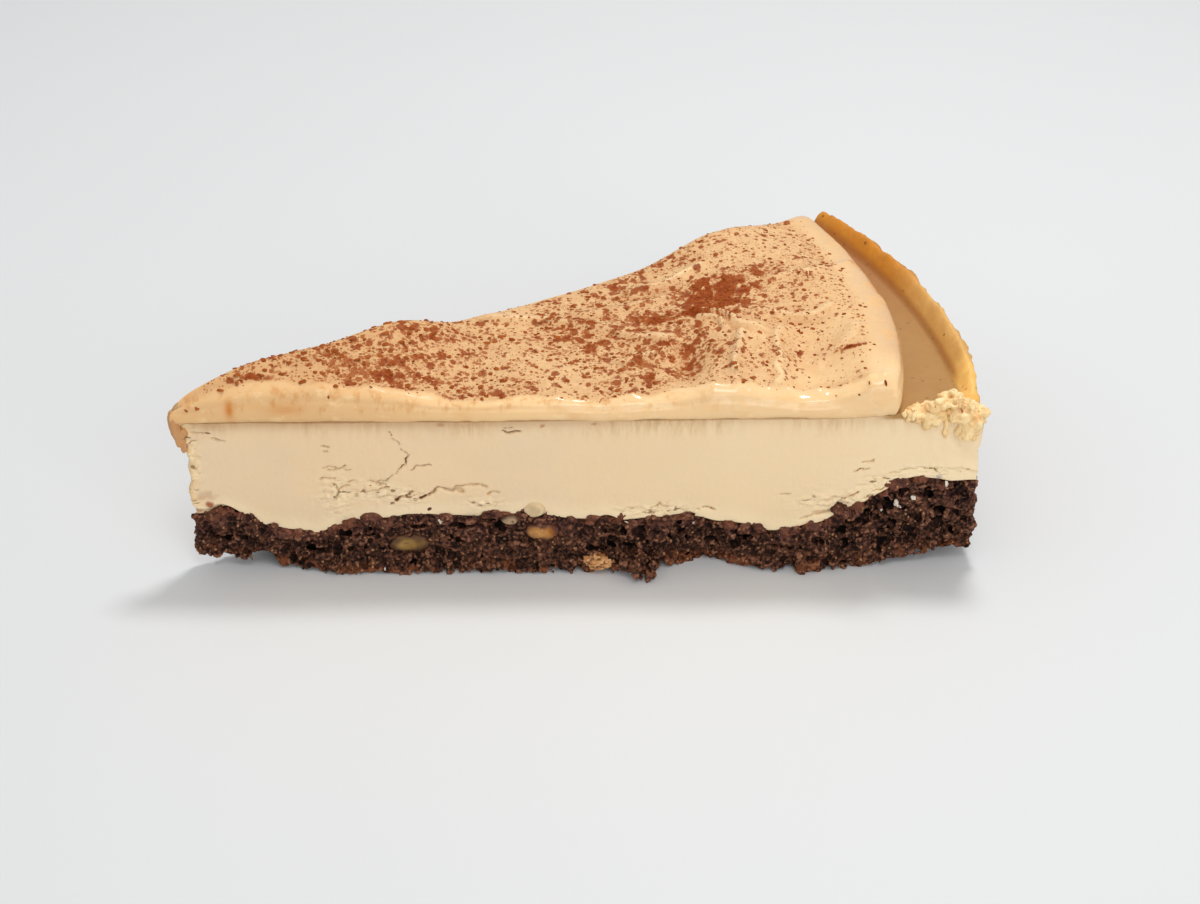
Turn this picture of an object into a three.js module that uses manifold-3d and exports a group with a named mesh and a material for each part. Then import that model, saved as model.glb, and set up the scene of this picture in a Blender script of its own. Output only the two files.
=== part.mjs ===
// One slice of a baked coffee cheesecake: a crumbly chocolate base with nuts in it, a smooth filling whose browned
// edge stands up as a lip at the rim, and a layer of coffee cream dusted with cocoa.
// Millimetres, +Z up. The shapes are worked out from the cake's centre, with the shown cut face along +X and the
// other cut face turned from it by the slice's angle. At the end the origin moves to the middle of the underside.
import * as THREE from 'three';
import { ImprovedNoise } from 'three/addons/math/ImprovedNoise.js';
import { mergeVertices } from 'three/addons/utils/BufferGeometryUtils.js';
import Module from 'manifold-3d';

const wasm = await Module();
wasm.setup();

// Driving dimensions
const RIM_RADIUS = 130;                               // a cake baked in a 26 cm tin
const SLICE_ANGLE = THREE.MathUtils.degToRad(31.6);   // about one of twelve slices
const BLUNT_TIP = 1.6;                                // the point of the slice is rubbed off this far out
const LAYER_GAP = 0.3;                                // between solids that touch

const BASE_THICKNESS = 9.8;
const BASE_AT_RIM = 6.9;                              // the base was pressed up this much at the tin's wall
const END_LIFT = 2.2;                                 // both ends of the underside are this far off the ground
const BASE_BULGE = 2.7;                               // crumbs pushed out at the foot of a cut face

const FILLING_TOP = 28.3;
const RIM_RISE = 1.3;                                 // the filling climbs this much towards the lip
const LIP_TOP = 32.4;
const LIP_START = 126.2;                              // radius where the lip begins
const LIP_CREST = 129.3;
const TIP_REACH = 1.0;                                // the blunt tip stands this far out past the cake's centre
const TIP_LEAN = 0.9;                                 // and the filling's upper edge this much further

const CREAM_OVERHANG = 0.6;                           // the cream is smeared past the cut faces
const CREAM_THICKNESS = 3.5;                          // in the middle of the slice, where it is thinnest
const CREAM_SHOULDER = 4.2;                           // radius of the cream's rounded edge on the hidden side
const FRONT_SHOULDER = 2.6;                           // on the shown side
const END_SHOULDER = 3.0;                             // and towards the lip
const CREAM_END_FRONT = 115.5;                        // at the front the cream stops short of the lip
const CREAM_END_BACK = 125.7;

// Small helpers
const { clamp, lerp, smoothstep } = THREE.MathUtils;
const perlin = new ImprovedNoise();
const bump = (at, centre, width) => Math.exp(-(((at - centre) / width) ** 2));

// Noise from -1 to 1 with lumps of about the given size. The shift picks another part of the pattern.
function lumps(x, y, z, size, shift = 0) {
  return perlin.noise(x / size + shift, y / size + 0.37 * shift, z / size + 11.3);
}

// A repeatable draw from 0 to 1 for the nth small piece.
function draw(n, salt) {
  const s = Math.sin(n * 127.1 + salt * 311.7) * 43758.5453;
  return s - Math.floor(s);
}

// Solids: a mesh as a manifold solid and back, and several joined
function toSolid(geometry) {
  const bare = new THREE.BufferGeometry().setIndex(geometry.index);
  bare.setAttribute('position', geometry.getAttribute('position'));
  const merged = mergeVertices(bare, 1e-3);
  const vertProperties = merged.getAttribute('position').array;
  const triVerts = new Uint32Array(merged.index.array);
  return new wasm.Manifold(new wasm.Mesh({ numProp: 3, vertProperties, triVerts }));
}

function toGeometry(solid) {
  const mesh = solid.getMesh();
  const geometry = new THREE.BufferGeometry();
  geometry.setAttribute('position', new THREE.BufferAttribute(mesh.vertProperties, mesh.numProp));
  geometry.setIndex(new THREE.BufferAttribute(mesh.triVerts, 1));
  geometry.computeVertexNormals();
  return geometry;
}

const joined = (body, pieces) => pieces.reduce((all, piece) => all.add(piece), body);
const cutBy = (body, pieces) => pieces.reduce((left, piece) => left.subtract(piece), body);

// A closed block of cake. u runs from tip to rim, v from the shown cut face to the other one and w from the
// underside up, each from 0 to 1, and place(u, v, w) gives the point.
function warpedBlock(uSteps, vSteps, wSteps, place) {
  const block = new THREE.BoxGeometry(1, 1, 1, uSteps, vSteps, wSteps);
  const position = block.getAttribute('position');
  for (let i = 0; i < position.count; i++) {
    const point = place(position.getX(i) + 0.5, position.getY(i) + 0.5, position.getZ(i) + 0.5);
    position.setXYZ(i, ...point);
  }
  return toSolid(block);
}

// An irregular rounded lump, such as a crumb or a nut, with its own three radii.
function lump(x, y, z, rx, ry, rz, { detail = 1, roughness = 0.18, turn = 0, shift = x } = {}) {
  const ball = mergeVertices(new THREE.IcosahedronGeometry(1, detail).deleteAttribute('uv').deleteAttribute('normal'));
  const position = ball.getAttribute('position');
  const point = new THREE.Vector3();
  for (let i = 0; i < position.count; i++) {
    point.fromBufferAttribute(position, i);
    point.multiplyScalar(1 + roughness * lumps(point.x, point.y, point.z, 0.7, shift));
    position.setXYZ(i, point.x * rx, point.y * ry, point.z * rz);
  }
  return toSolid(ball.rotateZ(turn).translate(x, y, z));
}

// Places on the slice
const STATIONS_TO_RIM = 0.66;      // this share of the steps covers the slice as far as FINE_FROM
const FINE_FROM = 108;

// Radius at u: even steps to FINE_FROM, then finer ones out to the rim.
function radiusAt(u) {
  if (u <= STATIONS_TO_RIM) return lerp(BLUNT_TIP, FINE_FROM, u / STATIONS_TO_RIM);
  return lerp(FINE_FROM, RIM_RADIUS, (u - STATIONS_TO_RIM) / (1 - STATIONS_TO_RIM));
}

// Share of the slice's angle at v: close together near both cut faces.
const spreadAcross = (v) => (1 - Math.cos(Math.PI * v)) / 2;

// A point at radius r, a share t of the way round from the shown cut face. The shown cut face, the other one, the
// rim and the tip are each pushed out by their own distance.
function onSlice(r, t, z, { front = 0, back = 0, rim = 0, tip = 0 }) {
  const angle = SLICE_ANGLE * t;
  const nearTip = 1 - smoothstep(r, 0, 9);
  return [
    (r + rim) * Math.cos(angle) - back * t ** 3 * Math.sin(SLICE_ANGLE) - tip * nearTip,
    (r + rim) * Math.sin(angle) - front * (1 - t) ** 3 + back * t ** 3 * Math.cos(SLICE_ANGLE),
    z,
  ];
}

// Base: a dark crumbly layer, bowed underneath and pressed up at the rim, with an uneven top
function baseTop(r, t) {
  const drift = 4 * t;               // the hollows wander as they cross the slice
  return BASE_THICKNESS
    + 1.3 * bump(r, 5, 5)
    - 2.5 * bump(r, 19 + drift, 6)
    - 3.0 * bump(r, 98 - drift, 9)
    + BASE_AT_RIM * smoothstep(r, 103, 121)
    + 0.9 * lumps(r, r * SLICE_ANGLE * t, 0, 9, 3) * smoothstep(r, 0, 12);
}

function underside(r) {
  return END_LIFT * (1 - smoothstep(r, 1, 17) + smoothstep(r, 107, 130));
}

// How far crumbs stand out of a cut face at a height share w: most at the foot, and broken away in places.
function crumblyFace(r, w, shift) {
  const foot = (1 - w) ** 1.3;
  const reach = smoothstep(r, 10, 26) * (1 - smoothstep(r, 104, 124));
  const broken = 4.2 * bump(r, shift ? 52 : 85.5, 6);
  const crags = 0.9 * lumps(r, shift, 9 * w, 4.2, shift) + 0.5 * lumps(r, shift, 9 * w, 1.9, shift);
  return clamp(foot * (BASE_BULGE * reach - broken) + crags, -0.2 * r, 4);
}

function basePoint(u, v, w) {
  const r = radiusAt(u);
  const t = spreadAcross(v);
  return onSlice(r, t, lerp(underside(r), baseTop(r, t), w), {
    front: crumblyFace(r, w, 0),
    back: crumblyFace(r, w, 21),
    rim: u === 1 ? 0.7 * lumps(50 * t, 9 * w, 0, 3.1, 8) : 0,
    tip: TIP_REACH + 0.5 * lumps(9 * w, 0, 0, 2.7, 5),
  });
}

const BASE_STEPS = [52, 9, 5];

// Loose-looking crumbs that hang on the foot of the shown face. Each is x, y, z and a size.
const HANGING_CRUMBS = [[76.4, -4.0, 2.1, 1.7], [74.2, -2.6, 2.7, 2.2], [79.0, -1.6, 3.4, 2.0], [101.5, -2.1, 2.3, 1.9]];

function chocolateBase() {
  const crumbs = HANGING_CRUMBS.map(([x, y, z, size]) => lump(x, y, z, size * 1.15, size, size, { roughness: 0.3 }));
  // A piece has fallen out under the tip and left a hollow that shows in both cut faces.
  const notch = lump(10.8, -1, 0.9, 1.9, 6.5, 2.9, { roughness: 0.15 });
  return joined(warpedBlock(...BASE_STEPS, basePoint), crumbs).subtract(notch);
}

// Filling: smooth, flat under the cream, climbing to a thin browned lip at the rim
function lipTop(t) {
  return LIP_TOP + bump(t, 0.4, 0.32) - 3.2 * bump(t, 0.02, 0.07) - 0.3 * bump(t, 1, 0.1)
    + 0.35 * lumps(70 * t, 0, 0, 4, 2);
}

function fillingTop(r, t) {
  const climb = FILLING_TOP + RIM_RISE * smoothstep(r, 106, LIP_START);
  const up = smoothstep(r, LIP_START, LIP_CREST);
  const rounded = 0.5 * smoothstep(r, LIP_CREST, RIM_RADIUS);
  return lerp(climb, lipTop(t), up) - rounded;
}

function fillingPoint(u, v, w) {
  const r = radiusAt(u);
  const t = spreadAcross(v);
  const gap = LAYER_GAP + 0.3 * Math.sin(Math.PI * t);    // wider inside, where the facets of the two layers differ
  const z = lerp(baseTop(r, t) + gap, fillingTop(r, t), w);
  return onSlice(r, t, z, {
    front: 0.25 * lumps(r, 0, z, 7, 4) * smoothstep(r, 3, 15),
    back: 0.25 * lumps(r, 30, z, 7, 4) * smoothstep(r, 3, 15),
    rim: u === 1 ? 0.35 * lumps(40 * t, z, 0, 5, 6) : 0,
    tip: TIP_REACH + TIP_LEAN * smoothstep(z, 22, FILLING_TOP),
  });
}

// Crumbs of filling that the knife dragged up along the top edge of the shown face, by the rim.
const DRAGGED_CRUMBS = 15;
const DRAGGED_FROM = 117.3;
const DRAGGED_TO = 130.2;

function draggedCrumbs() {
  return Array.from({ length: DRAGGED_CRUMBS }, (_, n) => {
    const along = (n + 0.5) / DRAGGED_CRUMBS;
    const x = lerp(DRAGGED_FROM, DRAGGED_TO, along);
    const size = 0.7 + 0.8 * draw(n, 1) * Math.sin(Math.PI * (0.25 + 0.7 * along));
    const z = fillingTop(Math.min(x, LIP_START), 0) + 0.1 + 2.2 * bump(x, 123.5, 4) * draw(n, 2);
    const detail = size > 1.1 ? 1 : 0;
    return lump(x, 1.4 * draw(n, 3) - 0.2, z, size * 1.2, size, size, { detail, roughness: 0.4, turn: 6 * draw(n, 4) });
  });
}

// Cracks in the shown face just above the base. Each is x, z, half length, half width and slope.
const CRACKS = [
  [39.7, 14.4, 2.3, 0.4, 0.7], [45.2, 15.4, 3.6, 0.4, 0.1], [35.2, 13.8, 1.1, 0.4, 0.5],
  [104.0, 9.8, 2.8, 0.45, 0.28], [108.7, 12.8, 2.2, 0.3, 0.65], [34.2, 19.3, 3.2, 0.25, 1.0],
];

function crack([x, z, halfLength, halfWidth, slope]) {
  const slit = new THREE.OctahedronGeometry(1, 0).scale(halfLength, 1.6, halfWidth);
  return toSolid(slit.rotateY(-Math.atan(slope)).translate(x, -0.3, z));
}

function cheeseFilling() {
  const body = warpedBlock(52, 9, 5, fillingPoint);
  return joined(cutBy(body, CRACKS.map(crack)), draggedCrumbs());
}

// Cream: spread by knife, thick at the tip and near the rim and thin between, with a rounded edge all round
const creamApex = CREAM_OVERHANG / Math.sin(SLICE_ANGLE / 2);
const CREAM_APEX = [-creamApex * Math.cos(SLICE_ANGLE / 2), -creamApex * Math.sin(SLICE_ANGLE / 2)];
const CREAM_TIP = 0.9;

const creamEnd = (t) => lerp(CREAM_END_FRONT, CREAM_END_BACK, t ** 0.75) - CREAM_APEX[0];

// The cream lies on the filling as far as the lip.
function creamFloor(x, y) {
  const r = Math.hypot(x, y);
  return fillingTop(Math.min(r, LIP_START), 0) + LAYER_GAP;
}

// Height of the cream over the filling, before its edge is rounded.
function creamHeight(x, y) {
  const r = Math.hypot(x, y);
  const t = clamp(Math.atan2(y, x) / SLICE_ANGLE, 0, 1);
  const nearFront = 2.9 * (1 - smoothstep(r, 18, 50)) + 2.2 * bump(r, 88, 8) + 2.8 * smoothstep(r, 103, 113);
  const nearBack = 5.4 * (1 - smoothstep(r, 36, 57)) - 0.3 * bump(r, 33, 11) + 0.9 * bump(r, 56, 4)
    + 3.8 * smoothstep(r, 86, 104) - 3.6 * smoothstep(r, 106, 121) - 0.3;
  const thick = CREAM_THICKNESS
    + lerp(nearFront, nearBack, smoothstep(t, 0, 1))
    + 1.4 * bump(r, 92, 16) * bump(t, 0.5, 0.3)
    + 0.3 * lumps(x, y, 0, 17, 1) + 0.25 * lumps(x, y, 0, 7, 2);
  return thick * lerp(0.57, 1, smoothstep(r, -3, 14));
}

// A quarter circle from 0 at the edge to 1 at the shoulder's width and beyond.
function shoulder(distance, width) {
  const inside = 1 - clamp(distance / width, 0, 1);
  return Math.sqrt(1 - inside * inside);
}

// Share of the cream's height that is a near upright wall
const CREAM_WALL = 0.45;
const FRONT_WALL = 0.68;

function creamPoint(u, v, w) {
  const t = spreadAcross(v);
  const end = creamEnd(t);
  const r = lerp(CREAM_TIP, end, (u + (1 - Math.cos(Math.PI * u)) / 2) / 2);
  const angle = SLICE_ANGLE * t;
  const narrow = 0.16 * r + 0.9;
  const fromFront = r * Math.sin(angle);
  const fromBack = r * Math.sin(SLICE_ANGLE - angle);
  const rounded = shoulder(fromFront, Math.min(FRONT_SHOULDER, narrow))
    * shoulder(fromBack, Math.min(CREAM_SHOULDER, narrow))
    * shoulder(end - r, END_SHOULDER) * shoulder(r - CREAM_TIP, 5);
  const wall = lerp(CREAM_WALL, FRONT_WALL, smoothstep(fromBack - fromFront, -2, 6));
  const x = CREAM_APEX[0] + r * Math.cos(angle);
  const y = CREAM_APEX[1] + r * Math.sin(angle);
  const height = creamHeight(x, y) * lerp(wall, 1, rounded) * w;
  return [x, y, creamFloor(x, y) + height];
}

// Clumps of cocoa on the cream, thickest in one patch. Each is a low lump sunk half into the surface.
const COCOA_CLUMPS = 40;

function cocoaClumps() {
  return Array.from({ length: COCOA_CLUMPS }, (_, n) => {
    const inPatch = n % 4 === 0;
    const r = inPatch ? 88 + 16 * (draw(n, 5) - 0.5) : 14 + 98 * Math.sqrt(draw(n, 5));
    const t = inPatch ? 0.5 + 0.4 * (draw(n, 6) - 0.5) : 0.16 + 0.68 * draw(n, 6);
    const x = r * Math.cos(SLICE_ANGLE * t);
    const y = r * Math.sin(SLICE_ANGLE * t);
    const size = 0.55 + 0.5 * draw(n, 7);
    const z = creamFloor(x, y) + creamHeight(x, y) - 0.05;
    return lump(x, y, z, size * 1.4, size, 0.45, { detail: 0, roughness: 0.3, turn: 6 * draw(n, 8) });
  });
}

// At the tip the cream sags down in front of the filling.
function tipSag() {
  return lump(-1.3, 0, FILLING_TOP + 0.1, 0.8, 1.0, 2.1, { roughness: 0.1 });
}

function coffeeCream() {
  return joined(warpedBlock(38, 14, 3, creamPoint), [...cocoaClumps(), tipSag()]);
}

// Nuts and a toasted crumb that show in the cut face of the base. Each is x, y, z and three radii.
const INCLUSIONS = {
  nut_left: [35.4, -0.6, 4.9, 3.2, 2.4, 1.8],
  nut_middle: [58.2, -0.2, 6.3, 3.1, 2.6, 2.1],
  nut_upper: [57.0, 0.6, 10.8, 1.7, 1.8, 1.5],
  nut_small: [52.4, 0.2, 8.8, 1.5, 1.6, 1.2],
  toasted_crumb: [67.6, -2.3, 2.2, 2.3, 2.0, 1.3],
};

const inclusion = ([x, y, z, rx, ry, rz], grown = 0) =>
  lump(x, y, z, rx + grown, ry + grown, rz + grown, { roughness: 0.1, shift: x });

// The whole slice
function material(color, roughness) {
  return new THREE.MeshStandardMaterial({ color, roughness, metalness: 0 });
}

const pockets = Object.values(INCLUSIONS).map((size) => inclusion(size, LAYER_GAP));

const PIECES = {
  chocolate_base: [cutBy(chocolateBase(), pockets), material('#3a211a', 0.9)],
  cheese_filling: [cutBy(cheeseFilling(), pockets), material('#dfc196', 0.55)],
  coffee_cream: [coffeeCream(), material('#e6bf8a', 0.35)],
};
for (const [name, size] of Object.entries(INCLUSIONS)) {
  PIECES[name] = [inclusion(size), material(name === 'toasted_crumb' ? '#a4622c' : '#b98a4a', 0.5)];
}

const slice = new THREE.Group();
for (const [name, [solid, look]] of Object.entries(PIECES)) {
  const mesh = new THREE.Mesh(toGeometry(solid), look);
  mesh.name = name;
  slice.add(mesh);
}

// The origin is the middle of the slice's footprint, at its lowest point.
const bounds = new THREE.Box3().setFromObject(slice);
const centre = bounds.getCenter(new THREE.Vector3());
slice.position.set(-centre.x, -centre.y, -bounds.min.z);

export default slice;
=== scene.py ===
import math

import bmesh
import bpy
import numpy as np
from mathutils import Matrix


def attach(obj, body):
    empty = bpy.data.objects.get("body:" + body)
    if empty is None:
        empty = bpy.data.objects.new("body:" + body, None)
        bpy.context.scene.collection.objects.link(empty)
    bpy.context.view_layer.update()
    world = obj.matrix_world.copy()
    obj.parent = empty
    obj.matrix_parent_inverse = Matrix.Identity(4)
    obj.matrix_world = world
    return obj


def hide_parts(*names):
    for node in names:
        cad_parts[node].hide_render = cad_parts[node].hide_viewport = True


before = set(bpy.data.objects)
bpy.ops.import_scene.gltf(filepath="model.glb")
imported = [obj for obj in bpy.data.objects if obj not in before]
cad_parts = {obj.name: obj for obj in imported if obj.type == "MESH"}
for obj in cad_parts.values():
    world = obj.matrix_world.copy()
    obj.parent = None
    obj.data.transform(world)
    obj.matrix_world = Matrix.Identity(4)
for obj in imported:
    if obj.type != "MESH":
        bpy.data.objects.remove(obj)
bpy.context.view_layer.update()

# The cake's centre in the part's frame, in millimetres
CAKE_CENTRE = np.array([-64.208, -31.336, 0.0])

# Sizes of the slice, the same as in the part's source
RIM_RADIUS = 130.0
SLICE_ANGLE = math.radians(31.6)
BLUNT_TIP = 1.6
BASE_THICKNESS = 9.8
BASE_AT_RIM = 6.9
END_LIFT = 2.2
BASE_BULGE = 2.7
FILLING_TOP = 28.3
RIM_RISE = 1.3
LIP_TOP = 32.4
LIP_START = 126.2
LIP_CREST = 129.3
TIP_REACH = 1.0
TIP_LEAN = 0.9
CREAM_OVERHANG = 0.6
CREAM_THICKNESS = 3.5
CREAM_SHOULDER = 4.2
CREAM_END_FRONT = 115.5
CREAM_END_BACK = 125.7

# Length of the rim's arc, to place its lumps and crumbs by
RIM_ARC = 72

draws = np.random.default_rng(31)


# Small helpers

def smooth(x, low, high):
    """0 below low, 1 above high and a soft step between."""
    s = np.clip((np.asarray(x, float) - low) / (high - low), 0, 1)
    return s * s * (3 - 2 * s)


def bump(x, centre, width):
    return np.exp(-(((x - centre) / width) ** 2))


def hills(x, y, rows, total=0.0):
    """Adds rounded hills, each given by its middle, its two half sizes and its height."""
    for middle_x, middle_y, half_x, half_y, height in rows:
        total = total + height * np.exp(-((x - middle_x) / half_x) ** 2 - ((y - middle_y) / half_y) ** 2)
    return total


def stretches(path, x, y):
    """For each straight stretch of a path, how far each place lies from it, and whether on its left."""
    for (x0, y0), (x1, y1) in zip(path, path[1:]):
        run_x, run_y = x1 - x0, y1 - y0
        share = np.clip(((x - x0) * run_x + (y - y0) * run_y) / (run_x ** 2 + run_y ** 2), 0, 1)
        away = np.hypot(x - x0 - share * run_x, y - y0 - share * run_y)
        yield away, run_x * (y - y0) - run_y * (x - x0) > 0


def mix(a, b, share):
    return a + (b - a) * share


def hashed(ix, iy, iz, seed):
    """A repeatable number from 0 to 1 for each point of whole numbers."""
    n = ix * 374761393 + iy * 668265263 + iz * 1442695041 + seed * 974711
    n = (n ^ (n >> 13)) * 1274126177
    n = (n ^ (n >> 15)) * 668265263
    return ((n ^ (n >> 16)) & 0xFFFFFF) / 0xFFFFFF


def lumps(x, y, z, size, seed=0):
    """Smooth noise from -1 to 1 whose lumps are about size apart."""
    x, y, z = np.broadcast_arrays(*(np.asarray(a, float) / size for a in (x, y, z)))
    ix, iy, iz = (np.floor(a).astype(np.int64) for a in (x, y, z))
    fx, fy, fz = (a - i for a, i in ((x, ix), (y, iy), (z, iz)))
    fx, fy, fz = (f * f * (3 - 2 * f) for f in (fx, fy, fz))
    total = np.zeros(x.shape)
    for dx in (0, 1):
        for dy in (0, 1):
            for dz in (0, 1):
                weight = (fx if dx else 1 - fx) * (fy if dy else 1 - fy) * (fz if dz else 1 - fz)
                total += weight * hashed(ix + dx, iy + dy, iz + dz, seed)
    return 2 * total - 1


def stations(*legs):
    """Places along a line from legs of (end, step), the first of which gives the start."""
    start = legs[0][0]
    places = [np.array([start])]
    for end, step in legs[1:]:
        count = max(1, round((end - start) / step))
        places.append(np.linspace(start, end, count + 1)[1:])
        start = end
    return np.concatenate(places)


# Meshes

def placed(name, data):
    """A new object in the scene."""
    made = bpy.data.objects.new(name, data)
    bpy.context.scene.collection.objects.link(made)
    return made


class Shell:
    """Points and faces of one closed surface, gathered sheet by sheet."""

    def __init__(self):
        self.points = []
        self.faces = []
        self.count = 0

    def add(self, points, faces):
        self.points.append(points)
        self.faces.extend((faces + self.count).tolist())
        self.count += len(points)

    def sheet(self, points, turned=False):
        """Adds a grid of points with its faces, and returns the grid of their numbers."""
        grid = np.arange(points[..., 0].size).reshape(points.shape[:2])
        corners = np.stack([grid[:-1, :-1], grid[1:, :-1], grid[1:, 1:], grid[:-1, 1:]], -1).reshape(-1, 4)
        numbers = grid + self.count
        self.add(points.reshape(-1, 3), corners[:, ::-1] if turned else corners)
        return numbers

    def stitch(self, left, right):
        """Joins two rows of points, whatever their counts, by triangles."""
        i = j = 0
        last_i, last_j = len(left) - 1, len(right) - 1
        while i < last_i or j < last_j:
            if j == last_j or (i < last_i and (i + 1) * last_j <= (j + 1) * last_i):
                self.faces.append([left[i], left[i + 1], right[j]])
                i += 1
            else:
                self.faces.append([left[i], right[j + 1], right[j]])
                j += 1

    def piece(self, name, weld=True):
        """Makes the object, with points that coincide joined."""
        mesh = bpy.data.meshes.new(name)
        mesh.from_pydata(((np.concatenate(self.points) + CAKE_CENTRE) * 0.001).tolist(), [], self.faces)
        if weld:
            form = bmesh.new()
            form.from_mesh(mesh)
            bmesh.ops.remove_doubles(form, verts=form.verts, dist=2e-6)
            bmesh.ops.recalc_face_normals(form, faces=form.faces)
            form.to_mesh(mesh)
            form.free()
        mesh.shade_smooth()
        return placed(name, mesh)

    def joined(self, name, voxel_mm):
        """Makes the object with its overlapping closed forms joined into one skin."""
        rough = self.piece(name + ".parts", weld=False)
        join = rough.modifiers.new("join", "REMESH")
        join.mode = "VOXEL"
        join.voxel_size = voxel_mm * 0.001
        mesh = bpy.data.meshes.new_from_object(rough.evaluated_get(bpy.context.evaluated_depsgraph_get()))
        mesh.name = name
        bpy.data.objects.remove(rough)
        mesh.shade_smooth()
        return placed(name, mesh)


def numbers_of(items, field, width, kind=float):
    """One field of a mesh's points, normals or edges, as the rows of an array."""
    flat = np.empty(len(items) * width, kind)
    items.foreach_get(field, flat)
    return flat.reshape(-1, width)


def points_of(mesh):
    """A mesh's points, in millimetres from the cake's centre."""
    return numbers_of(mesh.vertices, "co", 3) * 1000 - CAKE_CENTRE


def move_points(mesh, points):
    mesh.vertices.foreach_set("co", ((points + CAKE_CENTRE) * 0.001).ravel())
    mesh.update()


def pushed_out(mesh, distance):
    """A mesh's points, each moved along its normal."""
    return points_of(mesh) + numbers_of(mesh.vertex_normals, "vector", 3) * distance[:, None]


def paint(mesh, **painted):
    """Stores numbers for each point, for the material to read."""
    for name, values in painted.items():
        layer = mesh.attributes.new(name, "FLOAT", "POINT")
        layer.data.foreach_set("value", np.asarray(values, np.float32))


def ball(subdivisions):
    """Points and triangles of a round ball of radius 1."""
    form = bmesh.new()
    bmesh.ops.create_icosphere(form, subdivisions=subdivisions, radius=1)
    points = np.array([v.co for v in form.verts])
    faces = np.array([[v.index for v in f.verts] for f in form.faces])
    form.free()
    return points, faces


def turns(count, upright=False):
    """Random turning matrices, about +Z alone if upright."""
    if upright:
        angle = draws.uniform(0, 2 * math.pi, count)
        quaternion = np.stack([np.cos(angle / 2), 0 * angle, 0 * angle, np.sin(angle / 2)], 1)
    else:
        quaternion = draws.normal(size=(count, 4))
        quaternion /= np.linalg.norm(quaternion, axis=1, keepdims=True)
    w, x, y, z = quaternion.T
    rows = [
        [1 - 2 * (y * y + z * z), 2 * (x * y - w * z), 2 * (x * z + w * y)],
        [2 * (x * y + w * z), 1 - 2 * (x * x + z * z), 2 * (y * z - w * x)],
        [2 * (x * z - w * y), 2 * (y * z + w * x), 1 - 2 * (x * x + y * y)],
    ]
    return np.moveaxis(np.array(rows), 2, 0)


def many_lumps(centres, radii, subdivisions=2, roughness=0.25, upright=False):
    """Points and faces of an uneven lump at each centre, with its own three radii."""
    shape, faces = ball(subdivisions)
    count = len(centres)
    shift = draws.uniform(0, 50, (count, 1, 3))
    probe = shape[None] + shift
    uneven = 1 + roughness * lumps(probe[..., 0], probe[..., 1], probe[..., 2], 0.9)
    points = shape[None] * uneven[..., None] * radii[:, None, :]
    points = np.einsum("nij,nkj->nki", turns(count, upright), points) + centres[:, None, :]
    all_faces = faces[None] + (np.arange(count) * len(shape))[:, None, None]
    return points.reshape(-1, 3), all_faces.reshape(-1, 3)


# The slice's shapes

def share_round(x, y):
    """The share of the way round from the shown cut face to the hidden one."""
    return np.clip(np.arctan2(y, x) / SLICE_ANGLE, 0, 1)


def from_back(x, y):
    """How far a place lies inside the hidden cut face."""
    return (x * math.tan(SLICE_ANGLE) - y) * math.cos(SLICE_ANGLE)


def base_top(r, t):
    """Height of the base, the share t of the way round from the shown cut face."""
    drift = 4 * t
    arc = r * SLICE_ANGLE * t
    return (BASE_THICKNESS + 1.3 * bump(r, 5, 5) - 2.5 * bump(r, 19 + drift, 6) - 3.0 * bump(r, 98 - drift, 9)
            + 0.7 * bump(r, 45, 22) - 0.5 * bump(r, 80, 10)
            + BASE_AT_RIM * smooth(r, 103, 121) + 0.5 * lumps(r, arc, 0, 7, 3) + 0.5 * lumps(r, arc, 0, 3, 4))


def underside(r):
    return END_LIFT * (1 - smooth(r, 1, 17) + smooth(r, 107, 130))


def lip_top(t, r=RIM_RADIUS):
    """Height of the browned lip, torn down to the filling at the shown cut face."""
    ragged = 0.28 * lumps(70 * t, 0, 0, 3.4, 2) + 0.22 * lumps(70 * t, r, 0, 1.0, 5)
    return LIP_TOP + bump(t, 0.4, 0.32) - 3.2 * bump(t, 0.02, 0.07) - 0.3 * bump(t, 1, 0.1) + ragged


def filling_top(r, t):
    climb = FILLING_TOP + RIM_RISE * smooth(r, 106, LIP_START)
    up = smooth(r, LIP_START, LIP_CREST)
    return mix(climb, lip_top(t, r), up) - 0.5 * smooth(r, LIP_CREST, RIM_RADIUS)


def on_slice(r, t, z, front=0.0, back=0.0, rim=0.0, tip=0.0):
    """A point at radius r and share t, with each side pushed out by its own distance."""
    angle = SLICE_ANGLE * t
    near_tip = 1 - smooth(r, 0, 9)
    x = (r + rim) * np.cos(angle) - back * t ** 3 * math.sin(SLICE_ANGLE) - tip * near_tip
    y = (r + rim) * np.sin(angle) - front * (1 - t) ** 3 + back * t ** 3 * math.cos(SLICE_ANGLE)
    return np.stack(np.broadcast_arrays(x, y, z), -1)


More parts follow.
